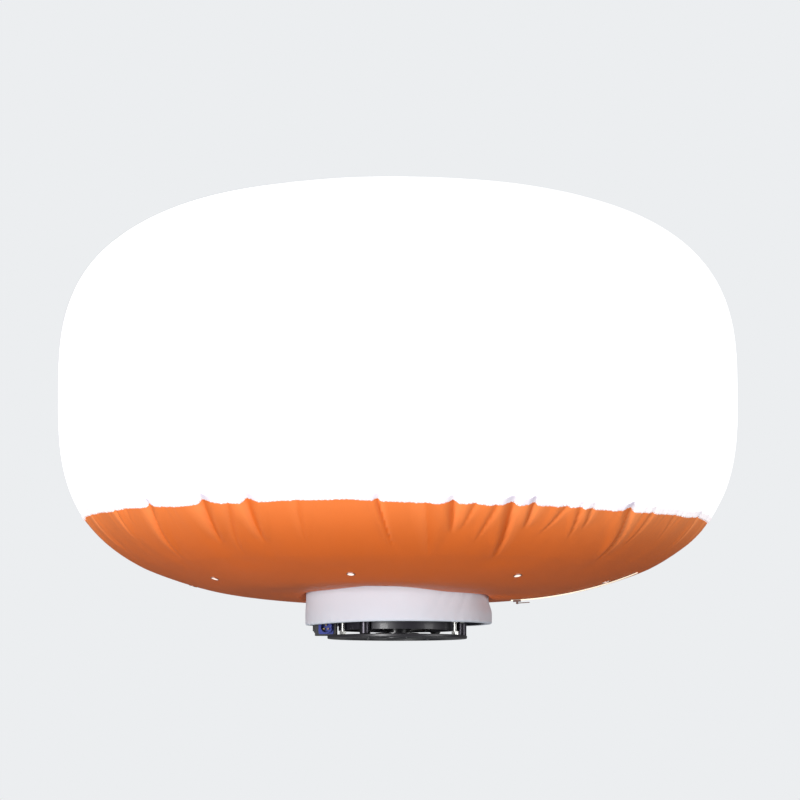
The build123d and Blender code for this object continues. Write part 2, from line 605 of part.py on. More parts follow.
# ---- Power inlet and rocker switch
def inlet_and_switch():
    low, high = DECK_THICK, FLANGE_BOTTOM
    middle = (low + high) / 2
    front, left = -INLET_DEPTH / 2, INLET_CENTRE - INLET_WIDTH / 2
    shell = Box(INLET_WIDTH, INLET_DEPTH, high - low)
    shell = fillet(shell.edges().filter_by(Axis.Z), 2)
    hollow = Box(INLET_WIDTH - 2 * INLET_WALL, INLET_DEPTH - 2 * INLET_WALL, high - low - 2 * INLET_WALL)
    at = Pos(INLET_CENTRE, 0, middle)
    plug_hole = Pos(INLET_CENTRE, front, middle) * Rot(90, 0, 0) * Cylinder(PLUG_BORE_RADIUS + 1.5 + SEAT, 10)
    switch_hole = Pos(left, 0, middle) * Box(10, ROCKER_LENGTH + 2, ROCKER_HEIGHT + 1)
    axle_way = Pos(*rocker_pivot()) * Cylinder(ROCKER_AXLE + RUNNING, ROCKER_HEIGHT + 3.2)
    cable_hole = Pos(INLET_CENTRE, 0, 0) * disc(SUPPLY_RADIUS + SEAT, high - 5, high + 1)
    write("inlet_housing", at * (shell - hollow) - [plug_hole, switch_hole, axle_way, cable_hole])

    plate_y = front - SOCKET_PLATE_THICK / 2
    plate = Box(SOCKET_PLATE, SOCKET_PLATE_THICK, high - low - 4)
    plate = Pos(INLET_CENTRE, plate_y, middle) * fillet(plate.edges().filter_by(Axis.Y), 2)
    barrel_end = front - SOCKET_PLATE_THICK - PLUG_BARREL_LENGTH
    back = front + 5
    barrel = Pos(INLET_CENTRE, front, middle) * Rot(90, 0, 0) * Cylinder(
        PLUG_BARREL_RADIUS, front - barrel_end, align=BASE_ALIGN)
    tail = Pos(INLET_CENTRE, back, middle) * Rot(90, 0, 0) * Cylinder(
        PLUG_BORE_RADIUS + 1.5, back - front, align=BASE_ALIGN)
    bore = Pos(INLET_CENTRE, barrel_end + PLUG_BORE_DEPTH, middle) * Rot(90, 0, 0) * Cylinder(
        PLUG_BORE_RADIUS, PLUG_BORE_DEPTH + 1, align=BASE_ALIGN)
    keys = [Pos(INLET_CENTRE + side * PLUG_BARREL_RADIUS, barrel_end, middle) * Box(2.4, 6, 3)
            for side in (-1, 1)]
    floor_y = barrel_end + PLUG_BORE_DEPTH
    pin_holes = [inlet_pin(angle, floor_y, middle, PIN_RADIUS + RUNNING) for angle in (90, 210, 330)]
    write("inlet_socket", plate + barrel + tail - [bore, *keys, *pin_holes])
    write("inlet_contacts", *[inlet_pin(angle, floor_y, middle, PIN_RADIUS) for angle in (90, 210, 330)])

    face = left
    bezel = Box(SWITCH_BEZEL, SWITCH_LENGTH, SWITCH_HEIGHT) - Box(5, ROCKER_LENGTH + 1, ROCKER_HEIGHT + 1)
    write("switch_bezel", Pos(face - SWITCH_BEZEL / 2, 0, middle) * bezel)
    depth = 3.0
    crest = INLET_WALL / 2 + SWITCH_BEZEL + 1.2
    outline = Polyline((depth, 1.5 - ROCKER_LENGTH / 2), (-crest, -ROCKER_LENGTH / 2), (1.4 - crest, 0),
                       (-crest, ROCKER_LENGTH / 2), (depth, ROCKER_LENGTH / 2 - 1.5), close=True)
    rocker = extrude(make_face(outline.edges()), ROCKER_HEIGHT / 2, both=True)
    axle = Cylinder(ROCKER_AXLE, ROCKER_HEIGHT + 3)
    write("power_rocker", Pos(*rocker_pivot()) * Rot(0, 0, ROCKER_TILT) * (rocker + axle))


def inlet_pin(angle, floor_y, middle, radius):
    x = INLET_CENTRE + PIN_CIRCLE * cos(radians(angle))
    z = middle + PIN_CIRCLE * sin(radians(angle))
    return Pos(x, floor_y + 3, z) * Rot(90, 0, 0) * Cylinder(radius, 9, align=BASE_ALIGN)


def rocker_pivot():
    """The point that the rocker turns about, on a line along Z."""
    return (INLET_CENTRE - INLET_WIDTH / 2 + INLET_WALL / 2, 0, (DECK_THICK + FLANGE_BOTTOM) / 2)


# ---- Fan
def fan_screw_angles():
    return [45 + 360 / FAN_SCREW_COUNT * i for i in range(FAN_SCREW_COUNT)]


def fan():
    bottom, top = FAN_BOTTOM, FAN_TOP
    wall = ring(FAN_BORE + FAN_WALL, FAN_BORE, bottom, top)
    flanges = [ring(FAN_RADIUS, FAN_BORE, z, z + FAN_FLANGE_THICK) for z in (bottom, top - FAN_FLANGE_THICK)]
    plate_top = bottom + MOTOR_PLATE_THICK
    plate = disc(MOTOR_PLATE_RADIUS, bottom, plate_top)
    strut = Pos(0, 0, bottom) * Box(2 * FAN_BORE + FAN_WALL, STRUT_WIDTH, MOTOR_PLATE_THICK, align=BASE_ALIGN)
    tube_bore = BEARING_RADIUS + SEAT / 2
    tube_radius = tube_bore + BEARING_TUBE_WALL
    tube_top = plate_top + BEARING_TUBE_HEIGHT
    tube = disc(tube_radius, plate_top, tube_top)
    bearing_hole = disc(tube_bore, plate_top, tube_top + 1)
    screw_holes = placed(disc(M4_RADIUS + SCREW_GAP, bottom - 1, top + 1), FAN_SCREW_CIRCLE, fan_screw_angles())
    frame = wall + flanges + plate + [strut, Rot(0, 0, 90) * strut] + tube
    write("fan_frame", frame - [bearing_hole, *screw_holes])

    bearing = ring(BEARING_RADIUS, SHAFT_RADIUS + RUNNING, 0, BEARING_THICK)
    write("fan_bearings", Pos(0, 0, plate_top) * bearing, Pos(0, 0, tube_top - BEARING_THICK) * bearing)

    rotor_low = bottom + ROTOR_BOTTOM
    rotor_top = rotor_low + ROTOR_HEIGHT
    stator_low = rotor_low + 3
    stator_bore = tube_radius + SEAT
    pole_reach = ROTOR_HUB_RADIUS - ROTOR_HUB_WALL - MAGNET_WALL - 1.0
    yoke = ring(stator_bore + 4, stator_bore, stator_low, stator_low + STATOR_HEIGHT)
    pole = Pos(stator_bore + 3, 0, stator_low) * Box(pole_reach - stator_bore - 3, 4, STATOR_HEIGHT,
                                                     align=(Align.MIN, Align.CENTER, Align.MIN))
    poles = [Rot(0, 0, 360 / STATOR_POLES * i) * pole for i in range(STATOR_POLES)]
    write("fan_stator", yoke + poles)
    coil_box = Box(6, 7.5, STATOR_HEIGHT - 2) - Box(8, 4 + 2 * SEAT, STATOR_HEIGHT)
    halves = coil_box.solids()
    coil_at = Pos(stator_bore + 4 + SEAT + 3.2, 0, stator_low + STATOR_HEIGHT / 2)
    write("fan_coils", *[Rot(0, 0, 360 / STATOR_POLES * i) * coil_at * half
                         for i in range(STATOR_POLES) for half in halves])

    hub_inner = ROTOR_HUB_RADIUS - ROTOR_HUB_WALL
    cup = disc(ROTOR_HUB_RADIUS, rotor_low, rotor_top) - disc(hub_inner, rotor_low - 1,
                                                              rotor_top - ROTOR_HUB_WALL)
    cup = fillet(cup.edges().filter_by(GeomType.CIRCLE).sort_by(Axis.Z)[-1], 1.5)
    reach = FAN_BORE - BLADE_TIP_GAP
    blades = [Rot(0, 0, 360 / BLADE_COUNT * i) * fan_blade(rotor_low, rotor_top, reach)
              for i in range(BLADE_COUNT)]
    bore = disc(SHAFT_RADIUS + SEAT / 2, rotor_low, rotor_top + 1)
    write("fan_rotor", cup + blades - bore)
    write("rotor_magnet", ring(hub_inner - SEAT, hub_inner - MAGNET_WALL, rotor_low + 2, rotor_top - 5))
    write("fan_shaft", disc(SHAFT_RADIUS, plate_top + 0.5, rotor_top - 0.3))

    guard_z = top + GUARD_LIFT + GUARD_WIRE
    eye_top = guard_z + GUARD_WIRE + GUARD_LIFT
    rings = [Pos(0, 0, guard_z + GUARD_WIRE) * Torus(r, GUARD_WIRE) for r in GUARD_RINGS]
    spoke_end = FAN_SCREW_CIRCLE - 3.5
    spokes = [lying(GUARD_WIRE, GUARD_RINGS[0] - 2, spoke_end, guard_z, angle) for angle in fan_screw_angles()]
    eye = ring(4.2, M4_RADIUS + SCREW_GAP, top, eye_top)
    eyes = placed(eye, FAN_SCREW_CIRCLE, fan_screw_angles())
    write("finger_guard", Part() + rings + spokes + eyes)

    head_low = eye_top
    screw = disc(M4_RADIUS, DUCT_TOP - DUCT_SEAT_THICK, head_low) + disc(M4_HEAD, head_low,
                                                                        head_low + M4_HEAD_THICK)
    write("fan_screws", *placed(screw, FAN_SCREW_CIRCLE, fan_screw_angles()))


def fan_blade(low, high, reach):
    """One twisted blade, steeper at the hub than at the tip, trimmed to the fan's round bore."""
    middle = (low + high) / 2
    sections = []
    for radius, chord, pitch in ((ROTOR_HUB_RADIUS - 1, 24, 42), (reach + 4, 36, 26)):
        plane = Plane(origin=(radius, 0, middle), x_dir=(0, 1, 0), z_dir=(1, 0, 0))
        sections.append(plane * Rot(0, 0, pitch) * Rectangle(chord, BLADE_THICK))
    return loft(sections) & disc(reach, low - 2, high + 2)


# ---- Lamp stand, driver and column
def stand_screw_circle():
    return STAND_LEG_RADIUS + STAND_FOOT / 2 + 2


def lamp_stand():
    low_align = (Align.MIN, Align.CENTER, Align.MIN)
    foot = Pos(STAND_LEG_RADIUS, 0, FLANGE_TOP) * Box(STAND_FOOT, STAND_LEG_WIDTH, STAND_THICK, align=low_align)
    upright = Pos(STAND_LEG_RADIUS, 0, FLANGE_TOP) * Box(STAND_THICK, STAND_LEG_WIDTH, STAND_TOP - FLANGE_TOP,
                                                        align=low_align)
    arm_start = STAND_PLATE_RADIUS - 10
    arm = Pos(arm_start, 0, STAND_TOP - STAND_THICK) * Box(STAND_LEG_RADIUS + STAND_THICK - arm_start,
                                                          STAND_LEG_WIDTH, STAND_THICK, align=low_align)
    leg = foot + upright + arm
    plate = disc(STAND_PLATE_RADIUS, STAND_TOP - STAND_THICK, STAND_TOP)
    holes = placed(disc(M4_RADIUS + SCREW_GAP, 0, FLANGE_TOP + 10), stand_screw_circle(), STAND_ANGLES)
    write("lamp_stand", plate + [Rot(0, 0, angle) * leg for angle in STAND_ANGLES] - holes)
    foot_top = FLANGE_TOP + STAND_THICK
    screw = disc(M4_RADIUS, FLANGE_BOTTOM, foot_top) + disc(M4_HEAD, foot_top, foot_top + M4_HEAD_THICK)
    write("stand_screws", *placed(screw, stand_screw_circle(), STAND_ANGLES))


def driver():
    inner = HOUSING_RADIUS - HOUSING_WALL
    cup = disc(HOUSING_RADIUS, STAND_TOP, HOUSING_TOP) - disc(inner, STAND_TOP + HOUSING_WALL, HOUSING_TOP + 1)
    rib = Pos(HOUSING_RADIUS - 1, 0, STAND_TOP) * Box(RIB_DEPTH + 1, RIB_WIDTH, HOUSING_HEIGHT,
                                                     align=(Align.MIN, Align.CENTER, Align.MIN))
    ribs = [Rot(0, 0, 360 / HOUSING_RIBS * (i + 0.5)) * rib for i in range(HOUSING_RIBS)]
    gland_ways = [lying(GLAND_RADIUS - 2, inner - 5, HOUSING_RADIUS + 10, GLAND_HEIGHT, angle)
                  for angle in (180, FAN_GLAND_AZIMUTH)]
    pads = [lying(GLAND_RADIUS + 1.5, inner, HOUSING_RADIUS + RIB_DEPTH, GLAND_HEIGHT, angle)
            for angle in (180, FAN_GLAND_AZIMUTH)]
    lugs = placed(disc(5, STAND_TOP + 1, HOUSING_TOP), LID_SCREW_CIRCLE, lid_screw_angles())
    pilots = placed(disc(M4_RADIUS + SEAT / 2, HOUSING_TOP - 12, HOUSING_TOP + 1), LID_SCREW_CIRCLE,
                    lid_screw_angles())
    write("driver_housing", cup + ribs + pads + lugs - [*gland_ways, *pilots])

    board_low = STAND_TOP + DRIVER_BOARD_HEIGHT
    board = disc(DRIVER_BOARD_RADIUS - 3, board_low, board_low + BOARD_THICK)
    board -= placed(disc(6, board_low - 1, board_low + 5), LID_SCREW_CIRCLE - 5, lid_screw_angles())
    write("driver_board", board)
    standoff = disc(3, STAND_TOP + HOUSING_WALL, board_low)
    write("board_standoffs", *placed(standoff, 38, lid_screw_angles()))
    on_board = board_low + BOARD_THICK
    coil = Pos(-14, 12, 0) * ring(11, 5, on_board, on_board + 12)
    capacitors = [Pos(x, -20, 0) * disc(6, on_board, on_board + 20) for x in (-10, 6, 22)]
    block = Pos(16, 10, on_board) * Box(20, 18, 14, align=BASE_ALIGN)
    write("driver_parts", coil, *capacitors, block)

    lid = disc(HOUSING_RADIUS, HOUSING_TOP, LID_TOP)
    lid = chamfer(lid.edges().filter_by(GeomType.CIRCLE).sort_by(Axis.Z)[-1], 1)
    lid_holes = placed(disc(M4_RADIUS + SCREW_GAP, HOUSING_TOP - 1, LID_TOP + 1), LID_SCREW_CIRCLE,
                       lid_screw_angles())
    centre = disc(CENTRE_BOLT_RADIUS + SEAT, HOUSING_TOP - 1, LID_TOP + 1)
    write("driver_lid", lid - [*lid_holes, centre])
    screw = disc(M4_RADIUS, HOUSING_TOP - 11, LID_TOP) + disc(M4_HEAD, LID_TOP, LID_TOP + M4_HEAD_THICK)
    write("lid_screws", *placed(screw, LID_SCREW_CIRCLE, lid_screw_angles()))
    write("cable_glands", cable_gland(180, SUPPLY_RADIUS), cable_gland(FAN_GLAND_AZIMUTH, FAN_LEAD_RADIUS))


def lid_screw_angles():
    return [45 + 360 / LID_SCREW_COUNT * i for i in range(LID_SCREW_COUNT)]


def cable_gland(azimuth, cable):
    start = HOUSING_RADIUS - HOUSING_WALL - 2
    face = HOUSING_RADIUS + RIB_DEPTH
    neck = lying(GLAND_RADIUS - 2 - SEAT, start, face, GLAND_HEIGHT, azimuth)
    along = Rot(0, 0, azimuth) * Pos(face, 0, GLAND_HEIGHT) * Rot(0, 90, 0)
    body = along * hexagon(2 * GLAND_RADIUS, 0, 5)
    cap = lying(GLAND_RADIUS - 1, face + 5, face + GLAND_LENGTH, GLAND_HEIGHT, azimuth)
    way = lying(cable + SEAT, start - 1, face + GLAND_LENGTH + 1, GLAND_HEIGHT, azimuth)
    return neck + body + cap - way


def led_column():
    bore = disc(CORE_BORE, LID_TOP - 1, CORE_TOP + 1)
    write("led_core", hexagon(CORE_FLATS, LID_TOP, CORE_TOP) - bore)
    sides = [30 + 60 * i for i in range(6)]
    board_low = LID_TOP + (CORE_HEIGHT - LED_BOARD_LENGTH) / 2
    board_face = CORE_FLATS / 2 + BOARD_THICK
    stand_align = (Align.MIN, Align.CENTER, Align.MIN)
    board = Pos(0, 0, board_low) * Box(BOARD_THICK, LED_BOARD_WIDTH, LED_BOARD_LENGTH, align=stand_align)
    write("led_boards", *placed(board, CORE_FLATS / 2, sides))
    pitch = LED_BOARD_LENGTH / LED_ROWS
    chip = Box(LED_CHIP_THICK, LED_CHIP, LED_CHIP, align=(Align.MIN, Align.CENTER, Align.CENTER))
    column = [Pos(0, 0, board_low + pitch * (row + 0.5)) * chip for row in range(LED_ROWS)]
    write("led_chips", *[copy for one in column for copy in placed(one, board_face, sides)])
    write("diffuser_tube", ring(DIFFUSER_RADIUS, DIFFUSER_RADIUS - DIFFUSER_WALL, LID_TOP, DIFFUSER_TOP))
    cap = disc(CAP_RADIUS, DIFFUSER_TOP, CAP_TOP)
    cap = fillet(cap.edges().filter_by(GeomType.CIRCLE).sort_by(Axis.Z)[-1], 4)
    plug = disc(CORE_FLATS / 2 - 2, CORE_TOP, DIFFUSER_TOP)
    slots = [Rot(0, 0, 45 * i) * Pos(33, 0, DIFFUSER_TOP) * Box(12, 4, 40) for i in range(8)]
    write("column_cap", cap + plug - [disc(CENTRE_BOLT_RADIUS + SEAT, CORE_TOP - 1, CAP_TOP + 1), *slots])
    bolt = disc(CENTRE_BOLT_RADIUS, HOUSING_TOP, CAP_TOP) + hexagon(13, CAP_TOP, CAP_TOP + 5.5)
    write("centre_bolt", bolt)


# ---- Guard cage and crown tether
def guard_cage():
    hub_low = CAGE_TOP - CAGE_HUB_THICK / 2
    shoulder = Vector(CAGE_RADIUS, 0, CAGE_TOP - 12)
    path = FilletPolyline(Vector(CAGE_RADIUS, 0, STAND_TOP), shoulder, Vector(CAGE_HUB_RADIUS - 4, 0, CAGE_TOP),
                          radius=CAGE_SHOULDER)
    wire = sweep(Plane(origin=(CAGE_RADIUS, 0, STAND_TOP), z_dir=(0, 0, 1)) * Circle(CAGE_WIRE), path=path)
    wires = [Rot(0, 0, CAGE_START + 360 / CAGE_WIRES * i) * wire for i in range(CAGE_WIRES)]
    hoop_radius = CAGE_RADIUS + 1.5 * CAGE_WIRE
    step = (shoulder.Z - CAGE_SHOULDER - STAND_TOP - CAGE_WIRE) / (CAGE_HOOPS - 1)
    hoops = [Pos(0, 0, STAND_TOP + CAGE_WIRE + step * i) * Torus(hoop_radius, CAGE_WIRE)
             for i in range(CAGE_HOOPS)]
    hub = disc(CAGE_HUB_RADIUS, hub_low, hub_low + CAGE_HUB_THICK)
    eye = Pos(0, 0, eye_height()) * Rot(90, 0, 0) * Torus(EYE_RADIUS, EYE_WIRE)
    write("guard_cage", Part() + wires + hoops + hub + eye)


def eye_height():
    return CAGE_TOP + CAGE_HUB_THICK / 2 + EYE_RADIUS


def crown_tether():
    hook_low = eye_height() + EYE_RADIUS - EYE_WIRE - HOOK_WIRE - SEAT
    hook_high = hook_low + HOOK_LENGTH
    half = HOOK_WIDTH / 2
    straight_low, straight_high = hook_low + half, hook_high - half
    loop = [Line((0, half, straight_low), (0, half, straight_high)),
            ThreePointArc((0, half, straight_high), (0, 0, hook_high), (0, -half, straight_high)),
            Line((0, -half, straight_high), (0, -half, straight_low)),
            ThreePointArc((0, -half, straight_low), (0, 0, hook_low), (0, half, straight_low))]
    path = Wire([edge for curve in loop for edge in curve.edges()])
    start = Plane(origin=(0, half, straight_low), z_dir=(0, 0, 1))
    write("tether_hook", sweep(start * Circle(HOOK_WIRE), path=path))

    patch_top = WIDEST_HEIGHT + CROWN_RISE - FABRIC - 2 * SOFT_GAP
    patch_low = patch_top - PATCH_THICK
    loop_low = hook_high - TETHER_LOOP / 2
    strap = Pos(0, 0, loop_low) * Box(TETHER_THICK, TETHER_WIDTH, patch_low - loop_low, align=BASE_ALIGN)
    end_block = Pos(0, 0, hook_high) * Box(9, 6, TETHER_LOOP)
    eye_way = Pos(0, 0, hook_high - half) * Rot(0, 90, 0) * Torus(half, HOOK_WIRE + SOFT_GAP)
    write("crown_tether", strap + end_block - eye_way)
    write("crown_patch", disc(PATCH_RADIUS, patch_low, patch_top))
    gap = TETHER_THICK / 2 + SOFT_GAP
    frame = Box(2 * gap + 3, TETHER_WIDTH + 6, 18) - Box(2 * gap, TETHER_WIDTH + 2 * SOFT_GAP, 20)
    write("tether_buckle", Pos(0, 0, BUCKLE_HEIGHT) * frame)


# ---- Cables
def cables():
    gland_face = HOUSING_RADIUS + RIB_DEPTH + GLAND_LENGTH
    low = FLANGE_BOTTOM - 6
    supply = FilletPolyline(Vector(INLET_CENTRE, 0, low), Vector(INLET_CENTRE, 0, GLAND_HEIGHT),
                            Vector(-HOUSING_RADIUS, 0, GLAND_HEIGHT), radius=28)
    profile = Plane(origin=(INLET_CENTRE, 0, low), z_dir=(0, 0, 1)) * Circle(SUPPLY_RADIUS)
    write("supply_cable", sweep(profile, path=supply))
    lip = GROMMET_RADIUS + GROMMET_LIP
    cable = SUPPLY_RADIUS + SEAT
    throat = GROMMET_RADIUS - SEAT
    write("flange_grommet", Pos(INLET_CENTRE, 0, 0) * turned(
        (cable, FLANGE_BOTTOM), (throat, FLANGE_BOTTOM), (throat, FLANGE_TOP), (lip, FLANGE_TOP),
        (lip, FLANGE_TOP + GROMMET_LIP), (cable, FLANGE_TOP + GROMMET_LIP)))
    start = FAN_RADIUS - 2 * FAN_LEAD_RADIUS
    lead = FilletPolyline(Vector(start, 0, FAN_TOP), Vector(start, 0, GLAND_HEIGHT),
                          Vector(HOUSING_RADIUS, 0, GLAND_HEIGHT), radius=13)
    lead_profile = Plane(origin=(start, 0, FAN_TOP), z_dir=(0, 0, 1)) * Circle(FAN_LEAD_RADIUS)
    write("fan_lead", Rot(0, 0, FAN_GLAND_AZIMUTH) * sweep(lead_profile, path=lead))
    print("supply cable", round(supply.length), "mm, fan lead", round(lead.length), "mm, gland face", gland_face)


def report_joints():
    """Prints the joint places that the record states."""
    azimuth = radians(ZIP_AZIMUTH)
    centre = (FLOOR_LOW_RADIUS * cos(azimuth), FLOOR_LOW_RADIUS * sin(azimuth), FLOOR_CENTRE_HEIGHT)
    travel = floor_angle(ZIP_END - SLIDER_LENGTH) - floor_angle(SLIDER_START)
    pin = on_floor(SLIDER_START, ZIP_AZIMUTH) * Pos(0, 0, pull_pin_height())
    print("zip arc centre", centre, "travel", round(travel, 2), "pull pin", tuple(pin.position))
    print("rocker pivot", rocker_pivot())


os.makedirs("parts", exist_ok=True)
envelope()
zip_fastener()
neck()
deck()
mast_socket()
mast_clamp()
duct_and_flange()
posts_and_rods()
inlet_and_switch()
fan()
lamp_stand()
driver()
led_column()
guard_cage()
crown_tether()
cables()
report_joints()
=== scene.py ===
# %% [markdown]
# # A balloon light head
# A fan in the base keeps a cloth envelope blown up: a white crown that glows all over, sewn to an orange bowl that
# stays dark. A white sleeve hides the clamp at the neck, and a black duct ring on posts lets the air in below.
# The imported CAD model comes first, because every cloth piece is cut to fit round it.

# %% Load the frame
import bpy
import random
from math import cos, pi, radians, sin, sqrt
import numpy as np
from mathutils import Matrix, Vector


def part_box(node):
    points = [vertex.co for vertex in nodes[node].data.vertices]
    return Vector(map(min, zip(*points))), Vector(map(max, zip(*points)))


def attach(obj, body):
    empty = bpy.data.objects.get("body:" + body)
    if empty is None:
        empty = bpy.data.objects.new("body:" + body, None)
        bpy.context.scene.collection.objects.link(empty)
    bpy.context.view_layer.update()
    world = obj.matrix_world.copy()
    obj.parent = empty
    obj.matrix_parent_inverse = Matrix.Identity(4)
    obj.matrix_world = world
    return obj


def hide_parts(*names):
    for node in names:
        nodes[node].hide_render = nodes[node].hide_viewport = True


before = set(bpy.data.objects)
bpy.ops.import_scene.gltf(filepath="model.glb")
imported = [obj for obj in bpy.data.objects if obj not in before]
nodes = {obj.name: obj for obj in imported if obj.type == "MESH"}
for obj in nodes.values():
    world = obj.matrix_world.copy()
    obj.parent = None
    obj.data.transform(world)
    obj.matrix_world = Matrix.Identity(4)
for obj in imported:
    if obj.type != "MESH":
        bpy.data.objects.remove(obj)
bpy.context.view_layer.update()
bpy.ops.object.select_all(action="DESELECT")

# %% [markdown]
# ## The camera
# The light head is seen from a long way off and from a little below its deck, as one stands under a mast. A long
# lens keeps the round envelope from bulging. The lens length follows from how wide the envelope should look.

# %% Set up the camera
camera_distance = 6.3
camera_height = -0.20
aim_height = 0.388
aim_side = 0.0045
envelope_share = 0.850      # share of the picture's width that the envelope fills

lowest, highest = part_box("envelope_upper")
envelope_radius = (highest[0] - lowest[0]) / 2
camera_data = bpy.data.cameras.new("camera")
camera = bpy.data.objects.new("camera", camera_data)
bpy.context.scene.collection.objects.link(camera)
bpy.context.scene.camera = camera
camera.location = (aim_side, -camera_distance, camera_height)
sight = Vector((aim_side, 0, aim_height)) - camera.location
camera.rotation_euler = sight.to_track_quat("-Z", "Y").to_euler()
seen_width = 2 * envelope_radius * (1 + (envelope_radius / camera_distance) ** 2 / 2) / envelope_share
camera_data.lens = camera_data.sensor_width * sight.length / seen_width
camera_data.clip_end = 60
print("lens", round(camera_data.lens, 1), "mm")

# %% [markdown]
# ## The studio
# The head stands on a tall mast, so the studio's pale floor lies well below it. One broad soft light stands low in
# front, to the left, so the bowl's left half is bright and cloth that faces down falls away into shade. A second one
# lifts the right side, a third the back, and the world gives an even fill.

# %% Light the studio
def area_light(name, place, target, size, watts, colour=(1, 1, 1)):
    data = bpy.data.lights.new(name, "AREA")
    data.size = size
    data.energy = watts
    data.color = colour
    lamp = bpy.data.objects.new(name, data)
    bpy.context.scene.collection.objects.link(lamp)
    lamp.location = place
    lamp.rotation_euler = (Vector(target) - Vector(place)).to_track_quat("-Z", "Y").to_euler()
    return lamp


area_light("front softbox", (-2.1, -4.3, -0.30), (0, 0, 0.2), 1.3, 168)
area_light("right fill", (4.1, -1.9, -0.30), (0, 0, 0.2), 1.6, 60)
area_light("rear fill", (-2.2, 4.2, 2.4), (0, 0, 0.4), 2.6, 150)

backdrop_colour = (0.8388, 0.8550, 0.8714, 1)
world = bpy.data.worlds.new("studio")
bpy.context.scene.world = world
world.use_nodes = True
world_nodes, world_links = world.node_tree.nodes, world.node_tree.links
world_nodes.clear()
fill = world_nodes.new("ShaderNodeBackground")
fill.inputs["Color"].default_value = (1, 1, 1, 1)
fill.inputs["Strength"].default_value = 0.165
seen = world_nodes.new("ShaderNodeBackground")
seen.inputs["Color"].default_value = backdrop_colour
path = world_nodes.new("ShaderNodeLightPath")
either = world_nodes.new("ShaderNodeMath")
either.operation = "MAXIMUM"
mix = world_nodes.new("ShaderNodeMixShader")
world_output = world_nodes.new("ShaderNodeOutputWorld")
world_links.new(path.outputs["Is Camera Ray"], either.inputs[0])
world_links.new(path.outputs["Is Transmission Ray"], either.inputs[1])
world_links.new(either.outputs[0], mix.inputs["Fac"])
world_links.new(fill.outputs[0], mix.inputs[1])
world_links.new(seen.outputs[0], mix.inputs[2])
world_links.new(mix.outputs[0], world_output.inputs["Surface"])
bpy.context.scene.view_settings.view_transform = "Standard"

# %% Lay the floor
bpy.ops.mesh.primitive_plane_add(size=24, location=(0, 0, -1.6))
floor = bpy.context.object
floor.name = "floor"
floor_finish = bpy.data.materials.new("floor paper")
floor_finish.use_nodes = True
tree = floor_finish.node_tree
tree.nodes.clear()
paper = tree.nodes.new("ShaderNodeBsdfDiffuse")
paper.inputs["Color"].default_value = (0.40, 0.41, 0.42, 1)
clear = tree.nodes.new("ShaderNodeBsdfTransparent")
geometry = tree.nodes.new("ShaderNodeNewGeometry")
side_mix = tree.nodes.new("ShaderNodeMixShader")
floor_output = tree.nodes.new("ShaderNodeOutputMaterial")
tree.links.new(geometry.outputs["Backfacing"], side_mix.inputs["Fac"])
tree.links.new(paper.outputs[0], side_mix.inputs[1])
tree.links.new(clear.outputs[0], side_mix.inputs[2])
tree.links.new(side_mix.outputs[0], floor_output.inputs["Surface"])
floor.data.materials.append(floor_finish)
print("studio ready")

# %% [markdown]
# ## Shared surface effects
# Three effects come back in many finishes, so each is a node group with named inputs: a plain weave, a fine grain
# for moulded and painted parts, and the fine lines that a lathe or a brush leaves on metal. Each gives a height for
# a Bump node and a mask that shifts colour and roughness a little.

# %% Build the node groups
def new_group(name, inputs, outputs):
    group = bpy.data.node_groups.new(name, "ShaderNodeTree")
    for socket, kind, value in inputs:
        made = group.interface.new_socket(socket, in_out="INPUT", socket_type=kind)
        if value is not None:
            made.default_value = value
    for socket, kind in outputs:
        group.interface.new_socket(socket, in_out="OUTPUT", socket_type=kind)
    return group, group.nodes.new("NodeGroupInput"), group.nodes.new("NodeGroupOutput")


def math_node(tree, operation, *values):
    node = tree.nodes.new("ShaderNodeMath")
    node.operation = operation
    for socket, value in zip(node.inputs, values):
        if isinstance(value, (int, float)):
            socket.default_value = value
        else:
            tree.links.new(value, socket)
    return node.outputs[0]


def mixed(tree, mask, one, other):
    """A colour that runs from one to the other as the mask rises."""
    blend = tree.nodes.new("ShaderNodeMix")
    blend.data_type = "RGBA"
    blend.inputs["A"].default_value = (*one, 1)
    blend.inputs["B"].default_value = (*other, 1)
    tree.links.new(mask, blend.inputs["Factor"])
    return blend.outputs["Result"]


def relieve(tree, shader, height, depth):
    """Bumps a shader's surface by a height, to a depth in metres."""
    relief = tree.nodes.new("ShaderNodeBump")
    relief.inputs["Distance"].default_value = depth
    tree.links.new(height, relief.inputs["Height"])
    tree.links.new(relief.outputs["Normal"], shader.inputs["Normal"])


weave_group, weave_in, weave_out = new_group(
    "plain weave",
    [("Vector", "NodeSocketVector", None), ("Threads", "NodeSocketFloat", 1200.0),
     ("Cloudiness", "NodeSocketFloat", 9.0)],
    [("Height", "NodeSocketFloat"), ("Mask", "NodeSocketFloat")],
)
split = weave_group.nodes.new("ShaderNodeSeparateXYZ")
weave_group.links.new(weave_in.outputs["Vector"], split.inputs[0])
threads = []
for axis in ("X", "Y"):
    turns = math_node(weave_group, "MULTIPLY", split.outputs[axis], weave_in.outputs["Threads"])
    threads.append(math_node(weave_group, "SINE", turns))
over = math_node(weave_group, "MULTIPLY", threads[0], threads[1])
height = math_node(weave_group, "MULTIPLY_ADD", over, 0.5, 0.5)
clouds = weave_group.nodes.new("ShaderNodeTexNoise")
clouds.inputs["Detail"].default_value = 4
weave_group.links.new(weave_in.outputs["Vector"], clouds.inputs["Vector"])
weave_group.links.new(weave_in.outputs["Cloudiness"], clouds.inputs["Scale"])
weave_group.links.new(height, weave_out.inputs["Height"])
weave_group.links.new(clouds.outputs["Fac"], weave_out.inputs["Mask"])

